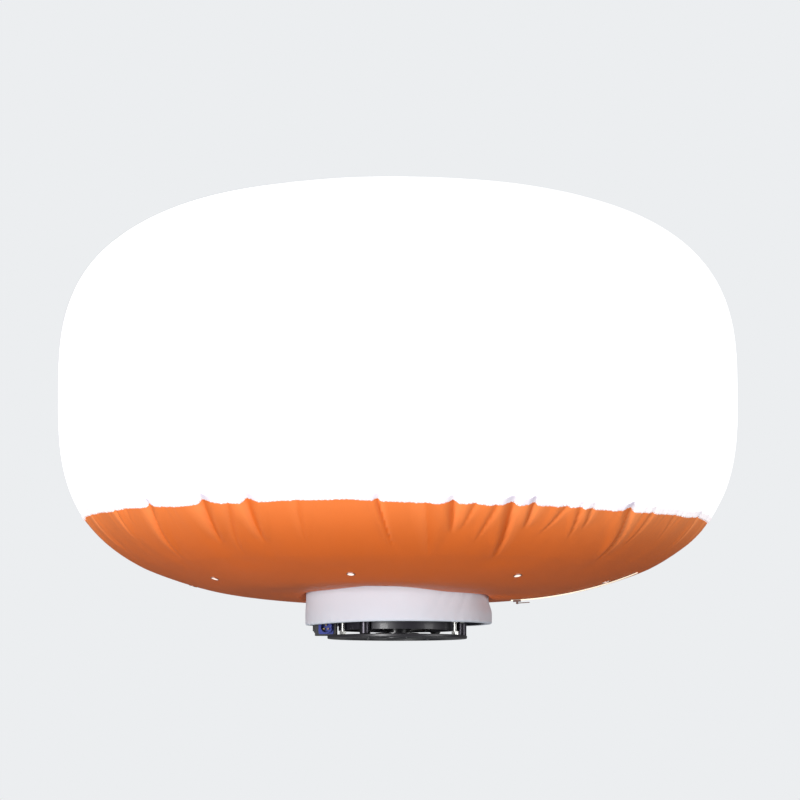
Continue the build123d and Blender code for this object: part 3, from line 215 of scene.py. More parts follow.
grain_group, grain_in, grain_out = new_group(
    "fine grain",
    [("Grain", "NodeSocketFloat", 1500.0), ("Patches", "NodeSocketFloat", 22.0)],
    [("Height", "NodeSocketFloat"), ("Mask", "NodeSocketFloat")],
)
place = grain_group.nodes.new("ShaderNodeTexCoord")
for socket, target, detail in (("Grain", "Height", 2), ("Patches", "Mask", 5)):
    noise = grain_group.nodes.new("ShaderNodeTexNoise")
    noise.inputs["Detail"].default_value = detail
    grain_group.links.new(place.outputs["Object"], noise.inputs["Vector"])
    grain_group.links.new(grain_in.outputs[socket], noise.inputs["Scale"])
    grain_group.links.new(noise.outputs["Fac"], grain_out.inputs[target])

lines_group, lines_in, lines_out = new_group(
    "tool lines",
    [("Along", "NodeSocketVector", (40.0, 40.0, 2200.0)), ("Patches", "NodeSocketFloat", 30.0)],
    [("Height", "NodeSocketFloat"), ("Mask", "NodeSocketFloat")],
)
place = lines_group.nodes.new("ShaderNodeTexCoord")
stretch = lines_group.nodes.new("ShaderNodeVectorMath")
stretch.operation = "MULTIPLY"
lines_group.links.new(place.outputs["Object"], stretch.inputs[0])
lines_group.links.new(lines_in.outputs["Along"], stretch.inputs[1])
scratches = lines_group.nodes.new("ShaderNodeTexNoise")
scratches.inputs["Scale"].default_value = 1
scratches.inputs["Detail"].default_value = 3
lines_group.links.new(stretch.outputs[0], scratches.inputs["Vector"])
lines_group.links.new(scratches.outputs["Fac"], lines_out.inputs["Height"])
patches = lines_group.nodes.new("ShaderNodeTexNoise")
patches.inputs["Detail"].default_value = 5
lines_group.links.new(place.outputs["Object"], patches.inputs["Vector"])
lines_group.links.new(lines_in.outputs["Patches"], patches.inputs["Scale"])
lines_group.links.new(patches.outputs["Fac"], lines_out.inputs["Mask"])
print("node groups:", [group.name for group in (weave_group, grain_group, lines_group)])

# %% [markdown]
# ## Finishes of the hard parts
# Enamel, zinc, cast aluminium and moulded plastic differ in colour and gloss, but each is built alike: a base
# colour that drifts a little from patch to patch, a roughness that drifts with it, and a fine bump. One function
# makes them, and each finish passes its own colours and depths.

# %% Make a finish
def hard_finish(name, colour, roughness, metallic=0.0, texture=grain_group, drift=0.12, rough_drift=0.1,
                bump=0.00002, coat=0.0, scale=None):
    finish = bpy.data.materials.new(name)
    finish.use_nodes = True
    tree = finish.node_tree
    shader = tree.nodes["Principled BSDF"]
    shader.inputs["Metallic"].default_value = metallic
    shader.inputs["Coat Weight"].default_value = coat
    shader.inputs["Coat Roughness"].default_value = 0.08
    effect = tree.nodes.new("ShaderNodeGroup")
    effect.node_tree = texture
    for socket, value in (scale or {}).items():
        effect.inputs[socket].default_value = value
    tone = mixed(tree, effect.outputs["Mask"], [c * (1 - drift) for c in colour],
                 [min(1, c * (1 + drift) + 0.1 * drift) for c in colour])
    tree.links.new(tone, shader.inputs["Base Color"])
    rough = tree.nodes.new("ShaderNodeMapRange")
    rough.inputs["From Min"].default_value = 0.3
    rough.inputs["From Max"].default_value = 0.7
    rough.inputs["To Min"].default_value = max(0.03, roughness - rough_drift / 2)
    rough.inputs["To Max"].default_value = roughness + rough_drift / 2
    tree.links.new(effect.outputs["Mask"], rough.inputs["Value"])
    tree.links.new(rough.outputs["Result"], shader.inputs["Roughness"])
    relieve(tree, shader, effect.outputs["Height"], bump)
    return finish


def wear(finish, *names):
    """Gives a finish to CAD nodes."""
    for name in names:
        mesh = nodes[name].data
        mesh.materials.clear()
        mesh.materials.append(finish)


def glow(finish, colour, strength):
    """Makes a finish give off light of its own."""
    shader = finish.node_tree.nodes["Principled BSDF"]
    shader.inputs["Emission Color"].default_value = (*colour, 1)
    shader.inputs["Emission Strength"].default_value = strength
    return finish


# %% [markdown]
# A painted glow on the eyelet metal stands in for the lamps' light shining out through the bores and washing over
# each rolled inner edge. A node group finds how far a place lies from the nearest eyelet's middle, as the eyelets
# stand evenly on one circle.

# %% Paint the glow onto the eyelets
eyelet_count, eyelet_start, eyelet_circle = 8, -102.0, 0.342
# The painted glow is full near a bore's middle and gone beyond the second distance.
lit_radius, dark_radius = 0.0046, 0.0058      # the light fades between these distances from the bore's middle

bore_group, bore_in, bore_out = new_group("painted bore glow", [("Vector", "NodeSocketVector", None)],
                                          [("Mask", "NodeSocketFloat")])


def bore_math(operation, *values):
    return math_node(bore_group, operation, *values)


def long_side(one, other):
    return bore_math("SQRT", bore_math("ADD", bore_math("MULTIPLY", one, one), bore_math("MULTIPLY", other, other)))


axes = bore_group.nodes.new("ShaderNodeSeparateXYZ")
bore_group.links.new(bore_in.outputs[0], axes.inputs[0])
turn = bore_math("ADD", bore_math("ARCTAN2", axes.outputs[1], axes.outputs[0]), -radians(eyelet_start))
turn = bore_math("WRAP", turn, pi / eyelet_count, -pi / eyelet_count)
off_circle = bore_math("SUBTRACT", long_side(axes.outputs[0], axes.outputs[1]), eyelet_circle)
away = long_side(bore_math("MULTIPLY", turn, eyelet_circle), off_circle)
wash = bore_group.nodes.new("ShaderNodeMapRange")
for socket, value in (("From Min", lit_radius), ("From Max", dark_radius), ("To Min", 1.0), ("To Max", 0.0)):
    wash.inputs[socket].default_value = value
bore_group.links.new(away, wash.inputs["Value"])
bore_group.links.new(wash.outputs[0], bore_out.inputs[0])


# Paints the glow onto an eyelet finish as emission, brightest round each bore.
def paint_bore_glow(finish, colour):
    tree = finish.node_tree
    place = tree.nodes.new("ShaderNodeTexCoord")
    effect = tree.nodes.new("ShaderNodeGroup")
    effect.node_tree = bore_group
    tree.links.new(place.outputs["Object"], effect.inputs[0])
    tone = mixed(tree, effect.outputs[0], (0, 0, 0), colour)
    tree.links.new(tone, tree.nodes["Principled BSDF"].inputs["Emission Color"])
    tree.nodes["Principled BSDF"].inputs["Emission Strength"].default_value = 1.0
    return finish


print("eyelet light group:", bore_group.name)

# %% Give the CAD nodes their finishes
lathe_lines = {"Along": (60.0, 60.0, 2600.0)}
enamel = hard_finish("black enamel", (0.022, 0.021, 0.026), 0.38, bump=0.00003)
wear(enamel, "deck_plate", "neck_flange")
wear(hard_finish("socket enamel", (0.016, 0.016, 0.02), 0.3, coat=0.2), "mast_socket")
wear(hard_finish("post anodising", (0.05, 0.046, 0.056), 0.34, 0.85, lines_group, scale=lathe_lines), "spacer_posts")
wear(hard_finish("gloss black moulding", (0.014, 0.012, 0.020), 0.44, coat=0.1, bump=0.000006), "duct_ring")
zinc = hard_finish("bright zinc", (0.46, 0.46, 0.44), 0.34, 1.0, lines_group, 0.16)
wear(zinc, "tie_rods", "post_nuts", "deck_screws", "stand_screws", "fan_screws", "lid_screws", "centre_bolt")
wear(hard_finish("rolled screw steel", (0.5, 0.5, 0.5), 0.32, 1.0, lines_group,
                 scale={"Along": (1500.0, 1500.0, 90.0)}), "clamp_screw", "band_screw")
wear(hard_finish("stainless band", (0.6, 0.6, 0.61), 0.26, 1.0, lines_group), "neck_band")
wear(hard_finish("welded wire zinc", (0.55, 0.56, 0.57), 0.36, 1.0, drift=0.2), "guard_cage", "tether_hook")
wear(hard_finish("plated guard wire", (0.7, 0.7, 0.7), 0.18, 1.0), "finger_guard")
wear(hard_finish("turned brass", (0.62, 0.44, 0.17), 0.3, 1.0, lines_group, scale=lathe_lines), "clamp_pad",
     "inlet_contacts", "board_standoffs")
wear(hard_finish("housing plastic", (0.02, 0.019, 0.022), 0.5, bump=0.00005), "inlet_housing", "switch_bezel")
wear(hard_finish("knob plastic", (0.018, 0.018, 0.02), 0.42, bump=0.00004), "clamp_knob", "tether_buckle",
     "cable_glands")
wear(hard_finish("rocker plastic", (0.03, 0.03, 0.032), 0.3, bump=0.00002), "power_rocker")
wear(hard_finish("fan plastic", (0.025, 0.025, 0.028), 0.46, bump=0.00003), "fan_frame", "fan_rotor")
wear(hard_finish("inlet blue", (0.03, 0.05, 0.32), 0.34, coat=0.25, bump=0.00001), "inlet_socket")
wear(hard_finish("ground steel", (0.5, 0.5, 0.51), 0.22, 1.0, lines_group), "fan_bearings", "fan_shaft", "fan_stator")
wear(hard_finish("enamelled copper", (0.6, 0.22, 0.08), 0.3, 0.9, lines_group, scale={"Along": (300.0, 300.0, 3000.0)}),
     "fan_coils")
wear(hard_finish("sintered magnet", (0.05, 0.05, 0.052), 0.6, 0.3, drift=0.3), "rotor_magnet")
wear(hard_finish("stand powder coat", (0.36, 0.37, 0.38), 0.5, bump=0.00009), "lamp_stand")
cast = hard_finish("cast aluminium", (0.5, 0.51, 0.52), 0.48, 0.9, bump=0.00008, scale={"Grain": 900.0})
wear(cast, "driver_housing", "driver_lid")
wear(hard_finish("extruded aluminium", (0.6, 0.6, 0.61), 0.34, 1.0, lines_group, scale={"Along": (900.0, 900.0, 30.0)}),
     "led_core", "column_cap")
wear(hard_finish("solder mask green", (0.02, 0.14, 0.06), 0.32), "driver_board")
wear(hard_finish("component black", (0.03, 0.03, 0.033), 0.4), "driver_parts")
wear(hard_finish("solder mask white", (0.82, 0.82, 0.8), 0.3, drift=0.03), "led_boards")
wear(glow(hard_finish("lamp phosphor", (0.9, 0.75, 0.3), 0.4, drift=0.1), (1, 0.93, 0.8), 1.0), "led_chips")
wear(hard_finish("frosted tube", (0.88, 0.88, 0.88), 0.5, drift=0.04), "diffuser_tube")
wear(hard_finish("cable sheath", (0.018, 0.018, 0.018), 0.55, bump=0.00003), "supply_cable", "fan_lead",
     "flange_grommet")
wear(hard_finish("lacquered slider", (0.12, 0.035, 0.014), 0.5, drift=0.1), "zip_slider", "zip_pull")
# The eyelet metal is painted dark so that it draws a ring of painted shade round each bright bore.
eyelet_nickel_painted_dark = hard_finish("eyelet nickel painted dark", (0.3, 0.2, 0.17), 0.42, 1.0, drift=0.1)
wear(paint_bore_glow(eyelet_nickel_painted_dark, (1.0, 0.82, 0.74)), "vent_eyelets")
# The zip coil gets a painted glow for the light that leaks out through the zip.
wear(glow(hard_finish("nylon zip coil with painted glow", (0.86, 0.74, 0.55), 0.4, drift=0.05), (1.0, 0.9, 0.72), 0.55), "zip_coil")
print("finishes on the CAD nodes:", len({node.data.materials[0].name for node in nodes.values()}))

# %% [markdown]
# ## The envelope's outline
# Air pressure rounds the envelope into a squat drum with wide shoulders. Half a superellipse gives the crown above
# the widest circle and another gives the bowl below it, and the bowl's floor is one round arc that rolls up into
# the neck. The whole outline is walked once, and each place on the cloth is known by how far it lies from the seam:
# below zero towards the crown, above zero towards the neck. Spans of cloth can then slide along it.

# %% Walk the outline
widest_height = 0.400
crown_power, bowl_power = 2.9, 2.95
bowl_drop = 0.343
floor_arc, floor_reach = 0.612, 0.400
neck_roll = 0.014
sleeve_radius = 0.148

crown_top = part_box("envelope_upper")[1][2]
seam_height = 0.199
seam_radius = 0.507
floor_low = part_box("envelope_lower")[0][2]
neck_radius = sleeve_radius + 0.0003
floor_start = neck_radius + neck_roll


def superellipse(share, power, rise):
    angle = share * pi / 2
    return envelope_radius * cos(angle) ** (2 / power), rise * sin(angle) ** (2 / power)


def floor_height(radius):
    return floor_low + floor_arc - sqrt(max(0, floor_arc ** 2 - (radius - floor_start) ** 2))


steps = 1500
walk = [(r, widest_height + h) for r, h in
        (superellipse(1 - i / steps, crown_power, crown_top - widest_height) for i in range(steps))]
for i in range(steps):
    r, h = superellipse(i / steps, bowl_power, bowl_drop)
    if r < floor_reach:
        break
    share = min(1, max(0, (r - floor_reach) / 0.05))
    share = share * share * (3 - 2 * share)
    walk.append((r, share * (widest_height - h) + (1 - share) * max(floor_height(r), widest_height - h)))
for i in range(1, 301):
    r = floor_reach + (floor_start - floor_reach) * i / 300
    walk.append((r, floor_height(r)))
for i in range(1, 31):
    turn = pi / 2 * i / 30
    walk.append((floor_start - neck_roll * sin(turn), floor_low + neck_roll * (1 - cos(turn))))
walk.append((neck_radius, floor_low + neck_roll + 0.004))
walk = np.array(walk)
walk[0] = (0, crown_top)
gaps = np.hypot(*np.diff(walk, axis=0).T)
distance = np.concatenate([[0], np.cumsum(gaps)])
below_widest = np.arange(len(walk)) >= steps
at_seam = np.interp(-seam_height, -walk[below_widest, 1][:1000], distance[below_widest][:1000])
distance -= at_seam
slopes = np.gradient(walk, distance, axis=0)
slopes /= np.hypot(slopes[:, 0], slopes[:, 1])[:, None]
crown_length, bowl_length = -distance[0], distance[-1]
print("crown", round(crown_length, 3), "m and bowl", round(bowl_length, 3), "m from the seam")


def on_outline(along):
    """Radius, height and outward normal of the outline at distances from the seam."""
    r, z = np.interp(along, distance, walk[:, 0]), np.interp(along, distance, walk[:, 1])
    tr, tz = np.interp(along, distance, slopes[:, 0]), np.interp(along, distance, slopes[:, 1])
    return r, z, -tz, tr


def outline_at(along):
    """The outline's points at distances from the seam, as plain pairs."""
    return [tuple(float(v) for v in point) for point in zip(*on_outline(along)[:2])]


def round_axis(turn, radius, height):
    """Points at angles in radians round the mast's axis."""
    return np.stack([radius * np.cos(turn), radius * np.sin(turn), height], axis=1)


# %% [markdown]
# ## Folds at the seam
# The bowl's edge is longer than the crown's, so it is gathered as it is sewn. Where the gathers bunch up, a fold
# runs down the bowl: its outer flank rises, a flat facet turns towards the front, and it ends in a crisp crease on
# the side nearer the middle. The facet narrows to a point. Each fold is given by the crease's azimuth at the seam
# and at its tip, its length, its facet's width, its height, and the side that the facet lies on.
# A cloth simulation gives convincing folds, but not where they are wanted, so the vertices are moved in code.

# %% Place the folds
folds = [
    (-171.0, -175.0, 0.085, 0.016, 0.0035, -1), (-163.5, -166.5, 0.100, 0.017, 0.0046, -1),
    (-150.5, -151.5, 0.074, 0.013, 0.0038, -1), (-146.8, -147.3, 0.036, 0.008, 0.0018, -1),
    (-139.2, -143.5, 0.118, 0.019, 0.0054, -1), (-126.2, -127.6, 0.086, 0.027, 0.0060, -1),
    (-117.0, -117.2, 0.088, 0.022, 0.0056, -1), (-120.5, -124.5, 0.118, 0.015, 0.0020, -1),
    (-107.5, -108.2, 0.090, 0.014, 0.0016, -1), (-93.2, -91.0, 0.100, 0.009, 0.0042, 1),
    (-85.2, -83.6, 0.130, 0.022, 0.0018, -1), (-80.0, -79.6, 0.066, 0.019, 0.0046, 1),
    (-76.2, -77.8, 0.058, 0.012, 0.0024, 1), (-72.4, -74.3, 0.086, 0.013, 0.0028, 1),
    (-69.4, -68.2, 0.132, 0.022, 0.0050, 1), (-65.4, -65.4, 0.056, 0.017, 0.0048, 1),
    (-58.8, -61.4, 0.066, 0.013, 0.0026, 1), (-56.0, -54.8, 0.072, 0.012, 0.0032, 1),
    (-53.5, -53.0, 0.045, 0.014, 0.0034, 1), (-44.0, -40.2, 0.124, 0.024, 0.0060, 1),
    (-37.6, -37.8, 0.082, 0.013, 0.0026, 1), (-29.5, -27.5, 0.060, 0.013, 0.0014, 1),
    (-18.2, -16.0, 0.086, 0.016, 0.0042, 1), (-10.5, -8.8, 0.060, 0.014, 0.0026, 1),
]
chance = random.Random(11)
azimuth = -2.0
while azimuth < 186:
    length, big = chance.uniform(0.04, 0.11), chance.random() ** 2
    folds.append((azimuth, azimuth + chance.uniform(-2.5, 2.5), length, 0.010 + 0.013 * big,
                  0.0014 + 0.0040 * big, chance.choice((-1, 1))))
    azimuth += chance.uniform(3.0, 11.5)

flank = np.array([(-2.3, 0), (-1.9, 0.10), (-1.6, 0.30), (-1.3, 0.46), (-1.05, 0.5), (-0.8, 0.36), (-0.4, -0.12),
                  (-0.08, -0.58), (0.0, -0.64), (0.08, -0.5), (0.3, 0.06), (0.5, 0.13), (0.9, 0.07), (1.4, 0)])
peak = np.array([(-2.4, 0), (-1.6, 0.14), (-1.0, 0.5), (-0.5, 0.92), (-0.22, 1.0), (0.0, 0.72), (0.15, 0.2),
                 (0.4, 0.02), (0.8, 0)])
# Painted light across a fold, from its crease to its facet: below zero is painted shade, above zero a painted
# highlight.
facet_painted_tone = np.array([(-1.0, 0), (-0.5, -0.45), (-0.2, -0.8), (-0.04, -0.5), (0.1, 1.0), (0.35, 0.9), (0.8, 0.5),
                       (1.4, 0)])
fold_depth = 1.6
print(len(folds), "folds round the seam")


def turned_apart(angles, azimuth):
    """The difference of two azimuths in degrees, between -180 and 180."""
    return (angles - azimuth + 180) % 360 - 180


def fold_relief(angles, along):
    """How far the bowl's folds lift the cloth off its outline, in metres."""
    relief = np.zeros_like(along)
    for start, tip, length, width, height, side in folds:
        reach = along / length
        near = (reach < 1.75) & (np.abs(turned_apart(angles, start)) < 14)
        run, radius = reach[near], on_outline(along[near])[0]
        crease = start + (tip - start) * np.clip(run, 0, 1.3)
        apart = np.radians(turned_apart(angles[near], crease)) * radius * side
        taper = np.clip(1.05 - 0.72 * run, 0.30, 1.05)
        shape = np.interp(apart / (width * taper), flank[:, 0], flank[:, 1])
        swell = np.interp(run, [0, 0.08, 0.3, 0.75, 0.95, 1.08], [0.72, 0.95, 1.0, 0.62, 0.30, 0.0])
        trail = np.interp(run, [0.6, 0.95, 1.3, 1.75], [0, 0.16, 0.08, 0])
        soft = -np.exp(-((apart / (0.9 * width) - 0.3) ** 2))
        relief[near] += fold_depth * height * (shape * swell + soft * trail)
    return relief


def fold_painted_light(angles, along):
    """Painted light on the folds: a painted highlight on each facet and painted shade in each crease."""
    light = np.zeros_like(along)
    for start, tip, length, width, height, side in folds:
        reach = along / length
        near = (reach < 1.2) & (np.abs(turned_apart(angles, start)) < 12)
        run, radius = reach[near], on_outline(along[near])[0]
        apart = np.radians(turned_apart(angles[near], start + (tip - start) * run)) * radius * side
        place = apart / (width * np.clip(1.05 - 0.72 * run, 0.30, 1.05))
        tone = np.interp(place, facet_painted_tone[:, 0], facet_painted_tone[:, 1])
        light[near] += tone * np.interp(run, [0, 0.7, 0.95, 1.12], [1, 0.9, 0.45, 0]) * min(1, height / 0.0046)
    return light


def fold_peak(angles):
    """How high the folds pull the seam up, from 0 to 1 at a big fold."""
    lift = np.zeros_like(angles)
    for start, tip, length, width, height, side in folds:
        apart = np.radians(turned_apart(angles, start)) * seam_radius * side
        lift = np.maximum(lift, (height / 0.0054) ** 1.7 * np.interp(apart / width, peak[:, 0], peak[:, 1]))
    return lift


def fold_painted_shade(angles):
    """Painted shade just above the seam where the folds bunch up, from 0 to 1."""
    folded = sum(np.clip(fold_peak(angles + off), 0, 1) for off in (-0.8, -0.4, 0, 0.4, 0.8)) / 5
    broad = sum(dark * np.exp(-(turned_apart(angles, middle) / spread) ** 4)
                for middle, spread, dark in ((-92.5, 6, 0.30), (-66, 5, 0.26)))
    return np.clip(0.85 * folded + broad, 0, 1)


# %% [markdown]
# The seam isn't level either. It is highest at the front, dips to the right, and each big fold plucks it up by a few
# millimetres. Its level at listed azimuths, in millimetres, is blended between them. The crown, the bowl, the
# binding and the stitches all take the same seam line from one function.

# %% Draw the seam line
def soft_waves(angles, amounts, seed):
    """A smooth random line round the envelope: amounts maps waves per turn to a height."""
    draw = random.Random(seed)
    return sum(height * np.sin(np.radians(angles) * waves + draw.uniform(0, 2 * pi))
               for waves, height in amounts.items())


seam_levels = np.array([(-180, 8.0), (-150, 7.5), (-126, 9.7), (-105, 6.8), (-95, 8.4), (-83, 15.0), (-76, 15.4),
                        (-66, 14.8), (-58, 17.2), (-48, 18.6), (-20, 16.0), (0, 15), (60, 12), (120, 9), (180, 8.0)])


def blended(angles, table, offsets):
    """Metres from a table of (azimuth, millimetres), averaged over a few azimuths to round its corners."""
    return sum(np.interp(turned_apart(angles, off), table[:, 0], table[:, 1]) for off in offsets) / len(offsets) / 1000


def seam_shift(angles):
    """How far down the outline the seam lies at each azimuth, in metres."""
    level = blended(angles, seam_levels, (-6, -3, 0, 3, 6))
    level += soft_waves(angles, {9: 0.0004, 17: 0.0006, 31: 0.0003}, 3)
    return level - 0.0066 * fold_peak(angles)


def gather_relief(angles, along):
    """The fine puckers that the stitches leave, and the broad softness of the cloth."""
    fine = soft_waves(angles, {143: 0.00030, 197: 0.00028, 251: 0.00022, 331: 0.00014}, 5)
    middle = soft_waves(angles, {23: 0.0007, 37: 0.0006, 61: 0.0004}, 6)
    broad = soft_waves(angles, {4: 0.0012, 7: 0.0014, 11: 0.0010}, 7)
    depth = np.clip(np.abs(along), 0, None)
    return (fine * np.exp(-depth / 0.022) + middle * np.exp(-depth / 0.07)
            + broad * np.clip(depth / 0.05, 0, 1) * np.exp(-depth / 0.25))


print("seam lies", round(float(seam_shift(np.array([-90.0]))[0]) * 1000, 1), "mm down at the front")

# %% [markdown]
# ## Sheets of cloth
# Each sheet starts as its outline in one plane, grown point by point, and is spun round the mast's axis. Its
# columns are close enough for a crease, and its rows are closest near the seam. The vertices then slide along the
# outline to the seam line and lift into their folds. A UV map in metres lets the weave follow the cloth.

# %% Spin a sheet
def spun(name, outline, columns):
    """Spins a line of (radius, height) points round the axis."""
    bpy.ops.object.select_all(action="DESELECT")
    bpy.ops.mesh.primitive_plane_add(size=0.01, location=(outline[0][0], 0, outline[0][1]))
    piece = bpy.context.object
    piece.name = piece.data.name = name
    bpy.ops.object.mode_set(mode="EDIT")
    bpy.ops.mesh.select_all(action="SELECT")
    bpy.ops.mesh.merge(type="CENTER")
    for (r0, z0), (r1, z1) in zip(outline, outline[1:]):
        bpy.ops.mesh.extrude_region_move(TRANSFORM_OT_translate={"value": (r1 - r0, 0, z1 - z0)})
    bpy.ops.mesh.select_all(action="SELECT")
    bpy.ops.mesh.spin(steps=columns, angle=2 * pi, center=(0, 0, 0), axis=(0, 0, 1))
    bpy.ops.mesh.select_all(action="SELECT")
    bpy.ops.mesh.remove_doubles(threshold=0.00001)
    bpy.ops.mesh.normals_make_consistent(inside=False)
    bpy.ops.object.mode_set(mode="OBJECT")
    bpy.ops.object.transform_apply(location=True, rotation=True, scale=True)
    return piece


def points_of(piece):
    flat = np.empty(len(piece.data.vertices) * 3)
    piece.data.vertices.foreach_get("co", flat)
    return flat.reshape(-1, 3)


def move_points(piece, points):
    piece.data.vertices.foreach_set("co", points.ravel())
    piece.data.update()


def azimuths(points):
    return np.degrees(np.arctan2(points[:, 1], points[:, 0]))


def pick(piece):
    """Makes the piece the only selected one, and the active one."""
    bpy.ops.object.select_all(action="DESELECT")
    piece.select_set(True)
    bpy.context.view_layer.objects.active = piece


def thicken(piece, thickness, offset=0.0):
    wall = piece.modifiers.new("wall", "SOLIDIFY")
    wall.thickness = thickness
    wall.offset = offset
    pick(piece)
    bpy.ops.object.modifier_apply(modifier="wall")


def dress(piece, finish, node):
    """Gives a sheet its finish and puts it in its CAD node's place on the base."""
    smooth(piece)
    piece.data.materials.append(finish)
    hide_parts(node)
    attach(piece, "base")


def turn_outwards(piece, centre):
    """Flips the faces if they look inwards."""
    mesh = piece.data
    middles, normals = np.empty(len(mesh.polygons) * 3), np.empty(len(mesh.polygons) * 3)
    mesh.polygons.foreach_get("center", middles)
    mesh.polygons.foreach_get("normal", normals)
    out = middles.reshape(-1, 3) - np.array(centre)
    if (out * normals.reshape(-1, 3)).sum() < 0:
        mesh.flip_normals()


def cloth_map(piece, around, along):
    """A UV map in metres: u round the cloth and v along it, unbroken where the azimuth starts again."""
    mesh = piece.data
    corners = np.empty(len(mesh.loops), int)
    mesh.loops.foreach_get("vertex_index", corners)
    starts, totals = np.empty(len(mesh.polygons), int), np.empty(len(mesh.polygons), int)
    mesh.polygons.foreach_get("loop_start", starts)
    mesh.polygons.foreach_get("loop_total", totals)
    u = around[corners]
    face_of = np.repeat(np.arange(len(starts)), totals)
    top = np.full(len(starts), -1e9)
    np.maximum.at(top, face_of, u)
    whole = around.max() - around.min()
    u = np.where(top[face_of] - u > whole / 2, u + whole, u)
    layer = mesh.uv_layers.new(name="cloth")
    layer.data.foreach_set("uv", np.stack([u, along[corners]], axis=1).ravel())


def smooth(piece):
    piece.data.polygons.foreach_set("use_smooth", np.ones(len(piece.data.polygons), bool))


# %% [markdown]
# ## Cloth finishes
# All the cloths share the weave. The bowl's cloth is a satin nylon with a soft sheen, and a painted glow on it stands
# in for highlights near the seam and on the folds' facets. The crown's cloth is coated and translucent, so with the
# lamps on it reads as an even white glow. The binding is two layers thick, so its painted glow is weaker, and it
# carries
# painted shade where a fold bunches it: the fold mask on its points darkens it there.

# %% Make the cloth finishes
def cloth_finish(name, colour, roughness, threads=4200.0, bump=0.00006, drift=0.06, sheen=0.0, cloudiness=9.0,
                 specular=0.5):
    finish = bpy.data.materials.new(name)
    finish.use_nodes = True
    tree = finish.node_tree
    shader = tree.nodes["Principled BSDF"]
    shader.inputs["Roughness"].default_value = roughness
    shader.inputs["Specular IOR Level"].default_value = specular
    shader.inputs["Sheen Weight"].default_value = sheen
    shader.inputs["Sheen Roughness"].default_value = 0.4
    uv = tree.nodes.new("ShaderNodeUVMap")
    uv.uv_map = "cloth"
    effect = tree.nodes.new("ShaderNodeGroup")
    effect.node_tree = weave_group
    effect.inputs["Threads"].default_value = threads
    effect.inputs["Cloudiness"].default_value = cloudiness
    tree.links.new(uv.outputs[0], effect.inputs["Vector"])
    tone = mixed(tree, effect.outputs["Mask"], [c * (1 - drift) for c in colour],
                 [min(1, c * (1 + drift)) for c in colour])
    tree.links.new(tone, shader.inputs["Base Color"])
    relieve(tree, shader, effect.outputs["Height"], bump)
    return finish


def masked_glow(finish, lit, shaded, mask, strength=1.0):
    """Painted glow on the cloth, from the lit colour to the shaded one as the piece's mask rises."""
    tree = finish.node_tree
    shader = tree.nodes["Principled BSDF"]
    painted = tree.nodes.new("ShaderNodeAttribute")
    painted.attribute_name = mask
    tree.links.new(mixed(tree, painted.outputs["Fac"], lit, shaded), shader.inputs["Emission Color"])
    shader.inputs["Emission Strength"].default_value = strength
    return finish


def paint_inner_glow(finish, colour):
    """Painted glow on the inner face, for the lamps' light inside: it is bright wherever a hole shows it."""
    tree = finish.node_tree
    shader, end = tree.nodes["Principled BSDF"], tree.nodes["Material Output"]
    face = tree.nodes.new("ShaderNodeNewGeometry")
    flood = tree.nodes.new("ShaderNodeEmission")
    flood.inputs["Color"].default_value = (*colour, 1)
    either = tree.nodes.new("ShaderNodeMixShader")
    tree.links.new(face.outputs["Backfacing"], either.inputs["Fac"])
    tree.links.new(shader.outputs[0], either.inputs[1])
    tree.links.new(flood.outputs[0], either.inputs[2])
    tree.links.new(either.outputs[0], end.inputs["Surface"])
    return finish


def paint_mask(piece, name, values):
    layer = piece.data.attributes.new(name, "FLOAT", "POINT")
    layer.data.foreach_set("value", np.clip(values, 0, 1).astype(np.float32))


bowl_cloth = cloth_finish("bowl cloth", (0.80, 0.148, 0.014), 0.48, drift=0.05, specular=0.24)
# The bowl's painted glow stands in for highlights near the seam and on the folds' facets, and its inner face gets a
# painted glow.
bowl_cloth = paint_inner_glow(masked_glow(bowl_cloth, (0.34, 0.165, 0.072), (0, 0, 0), "shade"), (1.0, 0.72, 0.6))
crown_cloth = cloth_finish("crown cloth", (0.86, 0.86, 0.87), 0.6)
# The crown's shaded colour is painted lilac shade.
masked_glow(crown_cloth, (1.0, 1.0, 1.0), (0.10, 0.08, 0.22), "shade")
binding_tape = cloth_finish("binding tape", (0.74, 0.70, 0.72), 0.75)
# The binding's glow is painted, and its shaded colour is painted lilac shade.
masked_glow(binding_tape, (0.62, 0.58, 0.59), (0.10, 0.07, 0.17), "shade")
sleeve_cloth = cloth_finish("sleeve cloth", (0.73, 0.775, 0.86), 0.7, drift=0.03, specular=0.3)
webbing_cloth = cloth_finish("white webbing", (0.8, 0.8, 0.8), 0.7, threads=2400.0, bump=0.0002)
zip_cloth = cloth_finish("zip tape", (0.42, 0.10, 0.03), 0.7, threads=5200.0)
print("cloth finishes ready")

# %% [markdown]
# ## The bowl
# The orange bowl reaches from the seam down over the floor to the roll at the neck. A painted glow brightens it
# near the seam and on the facets of its folds, and is held back in their creases, so these read as painted highlights
# and painted shade. Nine hundred and sixty columns put one about every three millimetres at the seam, and an
# eyelet's middle falls on a column and on a row.

# %% Cut the bowl
bowl_columns = 960
zip_azimuth = -8.0


def spaced(start, end, first_gap, last_gap):
    """Distances from start to end whose gaps grow evenly from the first to the last."""
    count = max(2, round(2 * (end - start) / (first_gap + last_gap)))
    share = np.linspace(0, 1, count + 1)
    gap = first_gap + (last_gap - first_gap) * share
    walked = np.concatenate([[0], np.cumsum((gap[1:] + gap[:-1]) / 2)])
    return start + (end - start) * walked / walked[-1]


def along_at_radius(radius):
    """How far below the seam the floor has this radius."""
    part = distance > 0.05
    return float(np.interp(-radius, -walk[part, 0], distance[part]))


